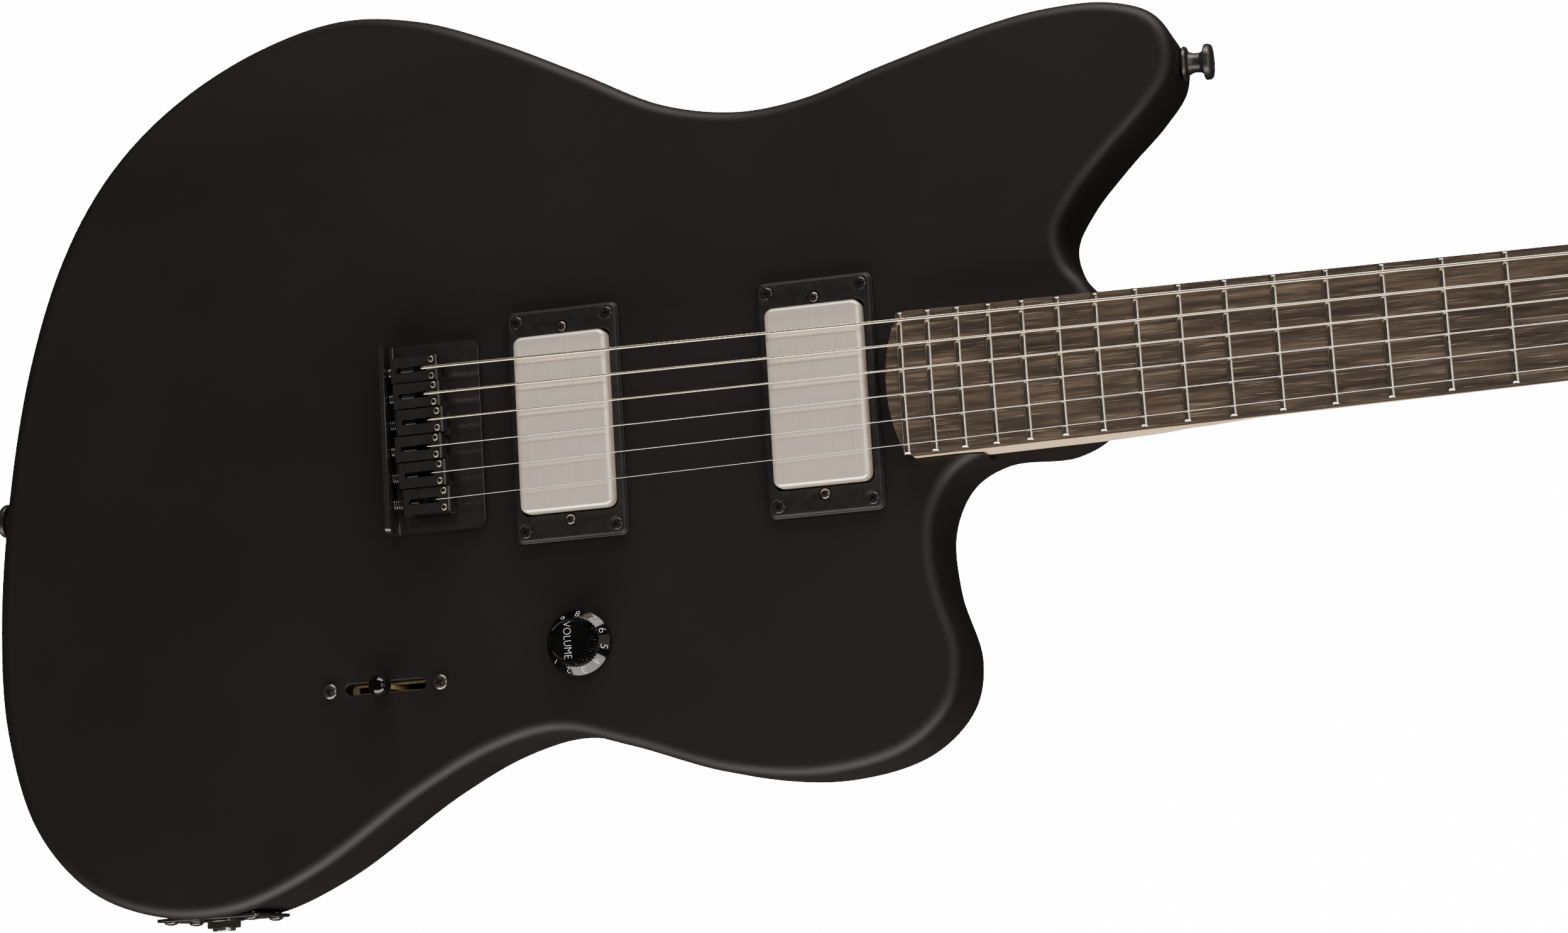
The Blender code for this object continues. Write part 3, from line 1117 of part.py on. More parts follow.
def make_strap_button(place, aim, finishes):
    seat, direction = rim_place(aim)
    radius, waist, length = STRAP_BUTTON_RADIUS, STRAP_BUTTON_WAIST, STRAP_BUTTON_LENGTH
    button = turned([
        (0, -STRAP_SCREW_LENGTH), (STRAP_SCREW_RADIUS, -STRAP_SCREW_LENGTH), (STRAP_SCREW_RADIUS, FIT),
        (radius, FIT), (radius, 1.5 * MM), (waist + MM, 2.6 * MM), (waist, 0.45 * length),
        (waist + MM, 0.68 * length), (radius, 0.76 * length), (radius, 0.92 * length),
        (0.8 * radius, length), (0, length)], 14)
    button.transform(Matrix.Translation(seat) @ axis_turn(direction))
    add_object(f"strap_button_{place}", button, finishes["gloss_black"])


# ---------------------------------------------------------------- assembly

def main():
    for leftover in list(bpy.data.objects):
        bpy.data.objects.remove(leftover)
    finishes = make_materials()
    make_body(finishes)
    make_neck_plate(finishes)
    make_neck(finishes)
    make_truss_rod(finishes)
    make_fingerboard(finishes)
    make_nut(finishes)
    make_bridge_plate(finishes)
    make_ferrule_block(finishes)
    for index in range(STRING_COUNT):
        make_saddle(index, finishes)
        make_intonation_screw(index, finishes)
        make_string(index, finishes)
        make_tuner(index, finishes)
    for place, centre in PICKUP_CENTRES.items():
        make_pickup(place, centre, finishes)
    make_volume_control(finishes)
    make_switch(finishes)
    make_jack(finishes)
    make_cavity_parts(finishes)
    for place, aim in STRAP_BUTTON_AIMS.items():
        make_strap_button(place, aim, finishes)


main()
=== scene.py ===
"""An electric guitar on its back on a pale floor, seen from above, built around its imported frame."""

import math

import bmesh
import bpy
from mathutils import Matrix, Vector
from mathutils.geometry import delaunay_2d_cdt


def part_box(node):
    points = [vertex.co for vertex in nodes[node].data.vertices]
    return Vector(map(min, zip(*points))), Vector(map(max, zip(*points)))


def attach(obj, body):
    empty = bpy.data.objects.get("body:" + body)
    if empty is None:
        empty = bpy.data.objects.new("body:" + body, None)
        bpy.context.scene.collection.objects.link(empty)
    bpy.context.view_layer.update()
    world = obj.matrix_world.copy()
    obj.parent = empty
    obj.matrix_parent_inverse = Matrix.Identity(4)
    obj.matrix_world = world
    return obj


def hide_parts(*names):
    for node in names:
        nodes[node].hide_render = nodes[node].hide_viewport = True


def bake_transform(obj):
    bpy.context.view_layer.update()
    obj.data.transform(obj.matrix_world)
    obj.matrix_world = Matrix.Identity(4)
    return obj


MM = 0.001
FIT = 0.3 * MM

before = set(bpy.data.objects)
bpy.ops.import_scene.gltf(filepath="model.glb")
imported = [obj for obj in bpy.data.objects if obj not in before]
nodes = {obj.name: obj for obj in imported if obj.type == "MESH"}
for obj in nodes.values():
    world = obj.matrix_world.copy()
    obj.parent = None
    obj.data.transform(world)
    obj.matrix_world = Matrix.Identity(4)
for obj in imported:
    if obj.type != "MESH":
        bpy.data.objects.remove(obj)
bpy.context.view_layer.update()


def low(node):
    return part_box(node)[0]


def high(node):
    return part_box(node)[1]


def middle(node):
    return (low(node) + high(node)) / 2


def mm(*points):
    """Points written in millimetres."""
    return [tuple(value * MM for value in point) for point in points]


# ---------------- camera and light

WARM = (1.0, 0.945, 0.89)
CAMERA_DEGREES = (8.086256, 16.161146, -3.459535)

camera_data = bpy.data.cameras.new("camera")
camera_data.lens = 81.469
camera_data.sensor_width = 36
camera = bpy.data.objects.new("camera", camera_data)
camera.location = (0.49294, -0.23891, 1.33600)
camera.rotation_euler = [math.radians(angle) for angle in CAMERA_DEGREES]
bpy.context.scene.collection.objects.link(camera)
bpy.context.scene.camera = camera


def area_light(name, place, aim, size, power, colour=(1.0, 1.0, 1.0), glossy=True):
    data = bpy.data.lights.new(name, "AREA")
    data.shape = "RECTANGLE"
    data.size, data.size_y = size
    data.energy = power
    data.color = colour
    lamp = bpy.data.objects.new(name, data)
    lamp.location = place
    lamp.rotation_euler = (Vector(aim) - Vector(place)).to_track_quat("-Z", "Y").to_euler()
    lamp.visible_glossy = glossy
    lamp.visible_camera = False
    bpy.context.scene.collection.objects.link(lamp)


def new_node(tree, kind, **values):
    """A shader node with some inputs set. An underscore in an input's name stands for a space."""
    node = tree.nodes.new(f"ShaderNode{kind}")
    for socket, value in values.items():
        node.inputs[socket.replace("_", " ")].default_value = value
    return node


def make_world():
    """A dim studio round the object. The camera sees white behind everything."""
    world = bpy.data.worlds.new("studio")
    world.use_nodes = True
    tree = world.node_tree
    tree.nodes.clear()
    studio = new_node(tree, "Background", Color=(1.0, 0.95, 0.90, 1.0), Strength=0.05)
    backdrop = new_node(tree, "Background", Color=(1.0, 1.0, 1.0, 1.0))
    path, mix, out = (new_node(tree, kind) for kind in ("LightPath", "MixShader", "OutputWorld"))
    tree.links.new(path.outputs["Is Camera Ray"], mix.inputs["Fac"])
    tree.links.new(studio.outputs["Background"], mix.inputs[1])
    tree.links.new(backdrop.outputs["Background"], mix.inputs[2])
    tree.links.new(mix.outputs["Shader"], out.inputs["Surface"])
    bpy.context.scene.world = world


make_world()
area_light("treble_softbox", (0.2, -1.75, 0.66), (0.1, 0.0, 0.0), (3.7, 1.15), 92.0, WARM)
area_light("bass_softbox", (0.65, 1.85, 0.68), (0.2, 0.0, 0.0), (2.0, 1.0), 50.0, WARM)
area_light("neck_end_strip", (2.0, 0.1, 1.75), (0.1, 0.0, 0.0), (1.5, 0.40), 12.0, WARM)
area_light("far_wall", (2.3, 0.0, 0.70), (0.1, 0.0, 0.0), (1.5, 1.0), 3.2, WARM)
area_light("overhead", (0.20, 0.95, 2.1), (0.20, 0.0, 0.0), (0.16, 0.16), 26.0, glossy=False)
area_light("overhead_fill", (0.3, 0.0, 3.0), (0.3, 0.0, 0.0), (4.0, 4.0), 40.0, glossy=False)


# ---------------- materials

# Dark tone, light tone, range of roughness, metallic, specular, cells of noise per metre, cells of grain per
# metre, and the grain's strength.
SPECKLED = {
    "satin_black_lacquer": ((0.0048, 0.0036, 0.0039), (0.0060, 0.0047, 0.0049), (0.52, 0.57), 0, 0.37, 9, 1400, 0.03),
    "nut_bone": ((0.72, 0.66, 0.52), (0.82, 0.77, 0.64), (0.30, 0.42), 0, 0.5, 160, 2500, 0.06),
    "gloss_black_metal": ((0.0045, 0.0043, 0.0042), (0.0065, 0.0062, 0.0060), (0.12, 0.18), 0, 0.5, 220, 5000, 0.03),
    "satin_black_metal": ((0.0100, 0.0092, 0.0088), (0.0132, 0.0122, 0.0115), (0.13, 0.19), 0, 0.75, 220, 5000, 0.05),
    "matte_black_plastic": ((0.0078, 0.0074, 0.0070), (0.0125, 0.0120, 0.0114), (0.44, 0.54), 0, 0.32, 350, 3600,
                            0.12),
    "gloss_black_plastic": ((0.0016, 0.0016, 0.0016), (0.0024, 0.0024, 0.0024), (0.07, 0.11), 0, 0.5, 300, 3000,
                            0.01),
    "bright_steel": ((0.70, 0.67, 0.62), (0.82, 0.79, 0.74), (0.16, 0.24), 1, 0.5, 900, 6000, 0.04),
    "fret_nickel": ((0.74, 0.66, 0.54), (0.86, 0.79, 0.68), (0.16, 0.26), 1, 0.5, 900, 6000, 0.03),
    "plated_switch_steel": ((0.80, 0.60, 0.32), (0.95, 0.76, 0.46), (0.28, 0.45), 0.35, 0.5, 500, 2500, 0.08),
    "battery_jacket": ((0.03, 0.03, 0.034), (0.05, 0.05, 0.056), (0.25, 0.35), 0, 0.5, 90, 2500, 0.06),
    "dark_screw": ((0.125, 0.115, 0.105), (0.175, 0.162, 0.150), (0.18, 0.26), 0.9, 0.5, 900, 6000, 0.04),
    "cup_screw": ((0.30, 0.26, 0.215), (0.40, 0.355, 0.30), (0.20, 0.28), 0.95, 0.5, 900, 6000, 0.04),
    "ring_screw": ((0.010, 0.0095, 0.009), (0.014, 0.0132, 0.0125), (0.16, 0.24), 0, 0.6, 900, 6000, 0.04),
    "dark_metal": ((0.05, 0.048, 0.046), (0.085, 0.082, 0.078), (0.32, 0.42), 0.8, 0.5, 700, 5000, 0.08),
    "print_white": ((0.80, 0.79, 0.77), (0.88, 0.87, 0.85), (0.45, 0.55), 0, 0.5, 900, 2500, 0.06),
    "pale_floor": ((0.90, 0.90, 0.90), (0.94, 0.94, 0.94), (0.7, 0.8), 0, 0.5, 3, 200, 0.06),
}
# A finish that isn't a slot of the part itself, and the slot it stands for.
SLOTS = {"fret_nickel": "bright_steel", "print_white": "nut_bone"} | dict.fromkeys(
    ("satin_black_metal", "dark_metal", "dark_screw", "cup_screw", "ring_screw"), "gloss_black_metal")
STRING_WRAP = 0.35 * MM


def new_material(name, roughness, metallic=0.0, specular=0.5):
    made = bpy.data.materials.new(name)
    made.use_nodes = True
    shader = made.node_tree.nodes["Principled BSDF"]
    shader.inputs["Roughness"].default_value = roughness
    shader.inputs["Metallic"].default_value = metallic
    shader.inputs["Specular IOR Level"].default_value = specular
    return made


def noise(made, scale, stretch=(1.0, 1.0, 1.0), detail=4.0, rough=0.55):
    """Noise in the object's own metres: scale is in cells per metre, and stretch makes it lengthwise."""
    tree = made.node_tree
    place = new_node(tree, "TexCoord")
    mapping = new_node(tree, "Mapping", Scale=stretch)
    cells = new_node(tree, "TexNoise", Scale=scale, Detail=detail, Roughness=rough)
    tree.links.new(place.outputs["Object"], mapping.inputs["Vector"])
    tree.links.new(mapping.outputs["Vector"], cells.inputs["Vector"])
    return cells.outputs["Fac"]


def ramp(made, value, stops):
    node = new_node(made.node_tree, "ValToRGB")
    made.node_tree.links.new(value, node.inputs["Fac"])
    for number, (place, colour) in enumerate(stops):
        stop = node.color_ramp.elements[number] if number < 2 else node.color_ramp.elements.new(place)
        stop.position = place
        stop.color = (*colour, 1.0)
    return node.outputs["Color"]


def spread(made, value, start, end, between=(0.3, 0.7)):
    node = new_node(made.node_tree, "MapRange", From_Min=between[0], From_Max=between[1], To_Min=start, To_Max=end)
    made.node_tree.links.new(value, node.inputs["Value"])
    return node.outputs["Result"]


def mixed(made, share, first, second):
    node = new_node(made.node_tree, "Mix")
    node.data_type = "RGBA"
    for socket, source in (("Factor_Float", share), ("A_Color", first), ("B_Color", second)):
        target = next(item for item in node.inputs if item.identifier == socket)
        if isinstance(source, tuple):
            target.default_value = (*source, 1.0)
        else:
            made.node_tree.links.new(source, target)
    return next(item for item in node.outputs if item.identifier == "Result_Color")


def paint(made, colour, roughness, height, strength, distance=0.1 * MM):
    """Feeds the shader's colour, bump and, unless it is None, roughness from nodes."""
    tree = made.node_tree
    shader = tree.nodes["Principled BSDF"]
    tree.links.new(colour, shader.inputs["Base Color"])
    if roughness is not None:
        tree.links.new(roughness, shader.inputs["Roughness"])
    bump = new_node(tree, "Bump", Strength=strength, Distance=distance)
    tree.links.new(height, bump.inputs["Height"])
    tree.links.new(bump.outputs["Normal"], shader.inputs["Normal"])
    return made


def speckled(name, dark, light, roughness, metallic, specular, scale, grain, strength):
    """A finish whose colour drifts slowly and whose gloss and surface have a fine grain."""
    made = new_material(name, roughness[0], metallic, specular)
    broad = noise(made, scale)
    fine = noise(made, grain, detail=2.0)
    return paint(made, ramp(made, broad, [(0.3, dark), (0.7, light)]), spread(made, broad, *roughness), fine, strength)


def make_maple():
    made = new_material("satin_maple", 0.4, specular=0.4)
    broad = noise(made, 9.0, (1.0, 9.0, 9.0), 5.0)
    pores = noise(made, 160.0, (0.25, 9.0, 9.0), 3.0)
    wood = ramp(made, broad, [(0.3, (0.80, 0.56, 0.33)), (0.5, (0.86, 0.63, 0.40)), (0.72, (0.89, 0.68, 0.45))])
    fleck = spread(made, pores, 0.0, 0.25, (0.55, 0.75))
    return paint(made, mixed(made, fleck, wood, (0.62, 0.40, 0.22)), spread(made, broad, 0.36, 0.46), pores, 0.05)


def make_ebony():
    made = new_material("ebony", 0.5, specular=0.35)
    broad = noise(made, 16.0, (1.0, 14.0, 6.0), 6.0, 0.7)
    pores = noise(made, 330.0, (0.16, 8.0, 8.0), 2.0, 0.6)
    wood = ramp(made, broad, [(0.32, (0.016, 0.011, 0.008)), (0.5, (0.042, 0.030, 0.021)),
                              (0.72, (0.105, 0.073, 0.048))])
    light = spread(made, pores, 0.0, 0.9, (0.60, 0.74))
    return paint(made, mixed(made, light, wood, (0.240, 0.182, 0.130)),
                 spread(made, pores, 0.42, 0.62), pores, 0.25, 0.05 * MM)


def make_brushed():
    """Nickel brushed across the strings, so it blurs along them. Part of its light is scattered."""
    made = new_material("brushed_nickel", 0.30, metallic=0.62)
    shader = made.node_tree.nodes["Principled BSDF"]
    shader.inputs["Anisotropic"].default_value = 0.85
    brushing = new_node(made.node_tree, "CombineXYZ", X=1.0)
    made.node_tree.links.new(brushing.outputs["Vector"], shader.inputs["Tangent"])
    drift = noise(made, 26.0)
    lines = noise(made, 900.0, (3.0, 0.04, 3.0), 3.0, 0.7)
    tone = ramp(made, lines, [(0.3, (0.80, 0.675, 0.565)), (0.7, (0.95, 0.825, 0.705))])
    return paint(made, mixed(made, spread(made, drift, 0.0, 0.25), tone, (0.84, 0.72, 0.61)),
                 spread(made, lines, 0.27, 0.36), lines, 0.05, 0.02 * MM)


def make_wound():
    """The wrap wire of a bass string, as ridges along its length. A wave of scale 1 has 20 bands per metre."""
    made = new_material("wound_nickel", 0.3, metallic=1.0)
    tree = made.node_tree
    place = new_node(tree, "TexCoord")
    wave = new_node(tree, "TexWave", Scale=1 / STRING_WRAP / 20)
    wave.wave_type = "BANDS"
    wave.bands_direction = "X"
    tree.links.new(place.outputs["Object"], wave.inputs["Vector"])
    tone = ramp(made, noise(made, 300.0), [(0.3, (0.76, 0.66, 0.50)), (0.7, (0.88, 0.78, 0.62))])
    return paint(made, tone, None, wave.outputs["Fac"], 0.5, 0.08 * MM)


finishes = {name: speckled(name, *looks) for name, looks in SPECKLED.items()}
finishes |= {"satin_maple": make_maple(), "ebony": make_ebony(), "brushed_nickel": make_brushed(),
             "wound_nickel": make_wound()}


# ---------------- shapes

def ring_of(points, z):
    return [Vector((x, y, z)) for x, y in points]


def circle(radius, sides=48, centre=(0.0, 0.0)):
    turns = [2 * math.pi * step / sides for step in range(sides)]
    return [(centre[0] + radius * math.cos(t), centre[1] + radius * math.sin(t)) for t in turns]


def rounded_rectangle(centre, size, radius, steps=6):
    points = []
    for quarter, (sx, sy) in enumerate([(1, 1), (-1, 1), (-1, -1), (1, -1)]):
        corner = (centre[0] + sx * (size[0] / 2 - radius), centre[1] + sy * (size[1] / 2 - radius))
        for step in range(steps + 1):
            angle = math.pi / 2 * (quarter + step / steps)
            points.append((corner[0] + radius * math.cos(angle), corner[1] + radius * math.sin(angle)))
    return points


def four_corners(centre, half_x, half_y):
    return [(centre[0] + sx * half_x, centre[1] + sy * half_y) for sx in (-1, 1) for sy in (-1, 1)]


def loft(rings):
    """A closed solid through rings of equally many points. A ring of one point is a tip."""
    mesh = bmesh.new()
    rows = [[mesh.verts.new(point) for point in ring] for ring in rings]
    for lower, upper in zip(rows, rows[1:]):
        for here in range(max(len(lower), len(upper))):
            corners = [row[(here + step) % len(row)] for row, step in
                       ((lower, 0), (lower, 1), (upper, 1), (upper, 0))]
            mesh.faces.new(list(dict.fromkeys(corners)))
    for row in (rows[0], rows[-1]):
        if len(row) > 2:
            mesh.faces.new(row)
    return mesh


def band(rings):
    """A closed solid with a window, whose rings go round its section."""
    mesh = bmesh.new()
    rows = [[mesh.verts.new(point) for point in ring] for ring in rings]
    for number, lower in enumerate(rows):
        upper = rows[(number + 1) % len(rows)]
        for here in range(len(lower)):
            there = (here + 1) % len(lower)
            mesh.faces.new((lower[here], lower[there], upper[there], upper[here]))
    return mesh


def prism(points, start, end):
    return loft([ring_of(points, start), ring_of(points, end)])


def box(start, end):
    return prism([(start[0], start[1]), (end[0], start[1]), (end[0], end[1]), (start[0], end[1])],
                 start[2], end[2])


def slab(centre, size, radius, start, end):
    return prism(rounded_rectangle(centre, size, radius), start, end)


def softened(profile, radius, steps=4):
    """The profile with each inner corner rounded by a small curve."""
    points = [Vector(point) for point in profile]
    made = [points[0]]
    for before, here, after in zip(points, points[1:], points[2:]):
        start = here + (before - here) * min(0.45, radius / max((before - here).length, 1e-9))
        end = here + (after - here) * min(0.45, radius / max((after - here).length, 1e-9))
        for step in range(steps + 1):
            share = step / steps
            made.append(start.lerp(here, share).lerp(here.lerp(end, share), share))
    return [tuple(point) for point in made + [points[-1]]]


def turned(profile, sides=48):
    """A solid of revolution about +Z through (radius, height) pairs, whose ends lie on the axis."""
    return loft([[Vector((0, 0, height))] if radius < 1e-7 else ring_of(circle(radius, sides), height)
                 for radius, height in profile])


def collar(profile):
    """A ring about +Z through (radius, height) pairs that go round its section."""
    return band([ring_of(circle(radius), height) for radius, height in profile])


def stand(place, direction=(0, 0, 1), spin=0.0):
    """The matrix that takes what was built about +Z to its place and direction."""
    turn = Vector(direction).normalized().to_track_quat("Z", "Y").to_matrix().to_4x4()
    return Matrix.Translation(Vector(place)) @ turn @ Matrix.Rotation(spin, 4, "Z")


def placed(mesh, *where):
    mesh.transform(stand(*where))
    return mesh


def rod(radius, start, end, sides, *where):
    """A cylinder between two distances from its place, along its direction."""
    return placed(turned([(0, start), (radius, start), (radius, end), (0, end)], sides), *where)


def merged(meshes):
    """Several meshes in one, left apart from one another. They are used up."""
    whole = bmesh.new()
    for mesh in meshes:
        data = bpy.data.meshes.new("part")
        mesh.to_mesh(data)
        whole.from_mesh(data)
        mesh.free()
        bpy.data.meshes.remove(data)
    return whole


def copies(source, places):
    """A mesh drawn at several matrices, as one mesh. The source is used up."""
    drawn = [source.copy() for _ in places]
    for mesh, place in zip(drawn, places):
        mesh.transform(place)
    source.free()
    return merged(drawn)


def drills(places, radius, start, end, sides=16):
    """Round cutters at (x, y) places, between two heights."""
    return merged([prism(circle(radius, sides, place), start, end) for place in places])


def raw(name, mesh):
    bmesh.ops.recalc_face_normals(mesh, faces=mesh.faces)
    data = bpy.data.meshes.new(name)
    mesh.to_mesh(data)
    mesh.free()
    made = bpy.data.objects.new(name, data)
    bpy.context.scene.collection.objects.link(made)
    return made


def apply_modifiers(made):
    bpy.context.view_layer.update()
    evaluated = made.evaluated_get(bpy.context.evaluated_depsgraph_get())
    data = bpy.data.meshes.new_from_object(evaluated)
    made.modifiers.clear()
    made.data = data
    return made


def carved(made, *cutters, operation="DIFFERENCE"):
    """Cuts each mesh from an object, or joins it on, and keeps only the result."""
    helpers = [raw("helper", cutter) for cutter in cutters]
    for helper in helpers:
        modifier = made.modifiers.new("carve", "BOOLEAN")
        modifier.operation = operation
        modifier.object = helper
    apply_modifiers(made)
    for helper in helpers:
        bpy.data.objects.remove(helper)
    return made


def rounded(made, width, segments=3, angle=30.0):
    modifier = made.modifiers.new("edges", "BEVEL")
    modifier.width = width
    modifier.segments = segments
    modifier.limit_method = "ANGLE"
    modifier.angle_limit = math.radians(angle)
    return apply_modifiers(made)


def settled(made, finish, replaced=(), body="guitar", angle=40.0, slot=None):
    """Shades a finished piece, gives it its finish and says what it rides on and stands for."""
    made.data.shade_smooth()
    made.data.set_sharp_from_angle(angle=math.radians(angle))
    made.modifiers.new("normals", "WEIGHTED_NORMAL").keep_sharp = True
    apply_modifiers(made)
    made.data.materials.clear()
    made.data.materials.append(finishes[finish])
    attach(made, body)
    if replaced:
        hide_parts(*replaced)


def piece(name, mesh, *settings, **more):
    settled(raw(name, mesh), *settings, **more)


def refined(node, finish, edge, *cutters, body="guitar"):
    """A CAD node's own solid with rounded edges and finer shading, which stands for it."""
    mesh = bmesh.new()
    mesh.from_mesh(nodes[node].data)
    bmesh.ops.remove_doubles(mesh, verts=mesh.verts, dist=0.002 * MM)
    bmesh.ops.dissolve_limit(mesh, angle_limit=math.radians(1.0), verts=mesh.verts, edges=mesh.edges)
    made = rounded(raw(f"{node}_fine", mesh), edge)
    if cutters:
        carved(made, *cutters)
    settled(made, finish, (node,), body)


def mesh_of(made):
    """The mesh of a helper object, which is then removed."""
    mesh = bmesh.new()
    mesh.from_mesh(made.data)
    bpy.data.objects.remove(made)
    return mesh


def hex_nut(profile, corner, start, end):
    """A collar cut to six flats between two heights, with the corners at a radius."""
    return mesh_of(carved(raw("nut_blank", collar(profile)), prism(circle(corner, 6), start, end),
                          operation="INTERSECT"))


def phillips_head(*sizes):
    """A domed screw head on the plane z = 0 with a cross recess, and a shank below. The radius, the dome, the
    recess's depth and the shank are in millimetres."""
    radius, dome, depth, shank = (size * MM for size in sizes)
    arc = [(radius * math.cos(math.radians(a)) ** 1.15, dome * 0.2 + dome * 0.8 * math.sin(math.radians(a)))
           for a in (0, 12, 24, 36, 48, 60, 70, 80)]
    head = raw("head", turned([(0, -shank), (radius * 0.5, -shank), (radius * 0.5, 0), (radius, 0), *arc,
                               (0, dome)], 40))
    arm, half = radius * 0.58, radius * 0.12
    cross = []
    for size in ((arm, half), (half, arm)):
        points = rounded_rectangle((0, 0), (2 * size[0], 2 * size[1]), half * 0.4, 2)
        lower = [(x * 0.55, y * 0.8) for x, y in points]
        cross.append(loft([ring_of(lower, dome - depth), ring_of(points, dome + 0.2 * MM)]))
    return mesh_of(carved(head, *cross))


def screw_heads(name, sizes, places, finish="dark_screw"):
    piece(name, copies(phillips_head(*sizes), places), finish)


def tube(path, radius, sides):
    """A round tube along a path of points, with its sections kept from twisting."""
    points = [Vector(point) for point in path]
    rings = []
    side = None
    for number, point in enumerate(points):
        along = (points[min(number + 1, len(points) - 1)] - points[max(number - 1, 0)]).normalized()
        if side is None:
            side = along.orthogonal().normalized()
        side = (side - along * side.dot(along)).normalized()
        other = along.cross(side)
        rings.append([point + radius * (side * math.cos(t) + other * math.sin(t))
                      for t in (2 * math.pi * step / sides for step in range(sides))])
    return loft(rings)


# ---------------- sizes shared with the frame

STRINGS = range(6)
SCALE = 648.0 * MM
STRING_RADII = [size * MM for size in (0.584, 0.457, 0.330, 0.216, 0.165, 0.127)]
BRIDGE_SPREAD = 52.5 * MM
NUT_SPREAD = 35.0 * MM
NUT_LENGTH = 3.2 * MM
NUT_END_X = SCALE + NUT_LENGTH
FACE_Z = 44.5 * MM
BOARD_TOP_Z = FACE_Z + 9.5 * MM
BOARD_BOTTOM_Z = BOARD_TOP_Z - 5.5 * MM
NECK_TOP_Z = BOARD_BOTTOM_Z - FIT
FRET_TOP_Z = BOARD_TOP_Z + 1.2 * MM
POCKET_FLOOR_Z = FACE_Z - 19.0 * MM
HEAD_TOP_Z = BOARD_TOP_Z - 12.0 * MM
HEAD_BOTTOM_Z = HEAD_TOP_Z - 14.0 * MM
BOARD_RADIUS = 304.8 * MM
BOARD_WIDTH = 55.3 * MM
NUT_WIDTH = 43.0 * MM
LAST_FRET_X = SCALE * 2 ** (-22 / 12)
HEEL_START_X = LAST_FRET_X + 1.1 * MM
HEEL_END_X = HEEL_START_X + 71.0 * MM
POCKET_HALF = 28 * MM
CUTAWAY_HALF = 84 * MM
BELOW = -5 * MM
BACK_RECESS = 2.6 * MM
BOLT_HOLE = 2.6 * MM
STRING_HOLE = 1.6 * MM
STRING_HOLE_X = -13.5 * MM
JACK_RIM_Y = -180 * MM
POST_RADIUS = 3 * MM
FIRST_POST = 38.0 * MM
POST_SPACING = 25.4 * MM
SADDLE_FRONTS = [x * MM for x in (-4.9, -4.1, -3.0, -4.0, -3.0, -1.9)]
BRIDGE_TOP_Z = FACE_Z + FIT + 2.0 * MM
BODY_OUTLINE = [
    (258.5, 0), (258, 20), (252.5, 33), (246, 42), (244, 54), (251, 67), (266, 83.4), (282, 98.7), (291, 111),
    (291.5, 124), (284.5, 134.5), (268, 140.8), (245, 141.6), (221.6, 138.5), (178.5, 127.9), (145.8, 118.9),
    (119, 117), (88.6, 123.7), (55.8, 140.8), (21.5, 158.2), (-14.5, 173), (-50, 179), (-86, 172), (-120, 155),
    (-148, 130), (-172.6, 92), (-189, 48), (-200, -6), (-205, -60), (-203, -102), (-191, -142), (-168, -168),
    (-137.5, -180), (-104, -180.3), (-70, -167.8), (-22, -138.4), (8, -124.6), (34, -119.8), (62, -127),
    (102.4, -140.6), (140, -144.6), (173, -137.2), (190.8, -121), (195, -102), (188.5, -76), (188, -52),
    (196.5, -35.5), (211, -28.2), (238, -27.5), (253, -19.5),
]
OUTLINE_STEPS = 8
EDGE_RADIUS = 5.5 * MM
EDGE_STEPS = 8
GRID = 9.0 * MM


def string_y(index, x):
    side = 1 - 2 * index / 5
    share = x / SCALE
    return side / 2 * (BRIDGE_SPREAD * (1 - share) + NUT_SPREAD * share)


def camber(y):
    return BOARD_RADIUS - math.sqrt(BOARD_RADIUS ** 2 - y ** 2)


def string_underside(index, x):
    at_bridge = FACE_Z + 12.3 * MM
    at_nut = FRET_TOP_Z + 0.4 * MM
    return at_bridge + (at_nut - at_bridge) * x / SCALE - camber(string_y(index, x))


def board_half_width(x):
    share = (x - LAST_FRET_X) / (SCALE - LAST_FRET_X)
    return (BOARD_WIDTH * (1 - share) + NUT_WIDTH * share) / 2


def post_place(index):
    x = SCALE + FIRST_POST + index * POST_SPACING
    return x, string_y(index, x) + POST_RADIUS + FIT + STRING_RADII[index]


def key_direction():
    first, last = post_place(0), post_place(5)
    along = Vector((last[0] - first[0], last[1] - first[1])).normalized()
    return Vector((-along.y, along.x, 0))


# ---------------- body

def smooth_outline():
    """A closed centripetal Catmull-Rom curve through the outline's points."""
    knots = [Vector(point) * MM for point in BODY_OUTLINE]
    count = len(knots)
    curve = []
    for number in range(count):
        p0, p1, p2, p3 = (knots[(number + shift) % count] for shift in (-1, 0, 1, 2))
        t1 = math.sqrt((p1 - p0).length)
        t2 = t1 + math.sqrt((p2 - p1).length)
        t3 = t2 + math.sqrt((p3 - p2).length)
        for step in range(OUTLINE_STEPS):
            t = t1 + (t2 - t1) * step / OUTLINE_STEPS
            a1 = p0.lerp(p1, t / t1)
            a2 = p1.lerp(p2, (t - t1) / (t2 - t1))
            a3 = p2.lerp(p3, (t - t2) / (t3 - t2))
            curve.append(a1.lerp(a2, t / t2).lerp(a2.lerp(a3, (t - t1) / (t3 - t1)), (t - t1) / (t2 - t1)))
    return curve


def outward(outline, number):
    along = outline[(number + 1) % len(outline)] - outline[number - 1]
    return Vector((along.y, -along.x)).normalized()


def past_line(x, y, degrees, start):
    angle = math.radians(degrees)
    return max(0.0, x * math.cos(angle) + y * math.sin(angle) - start)


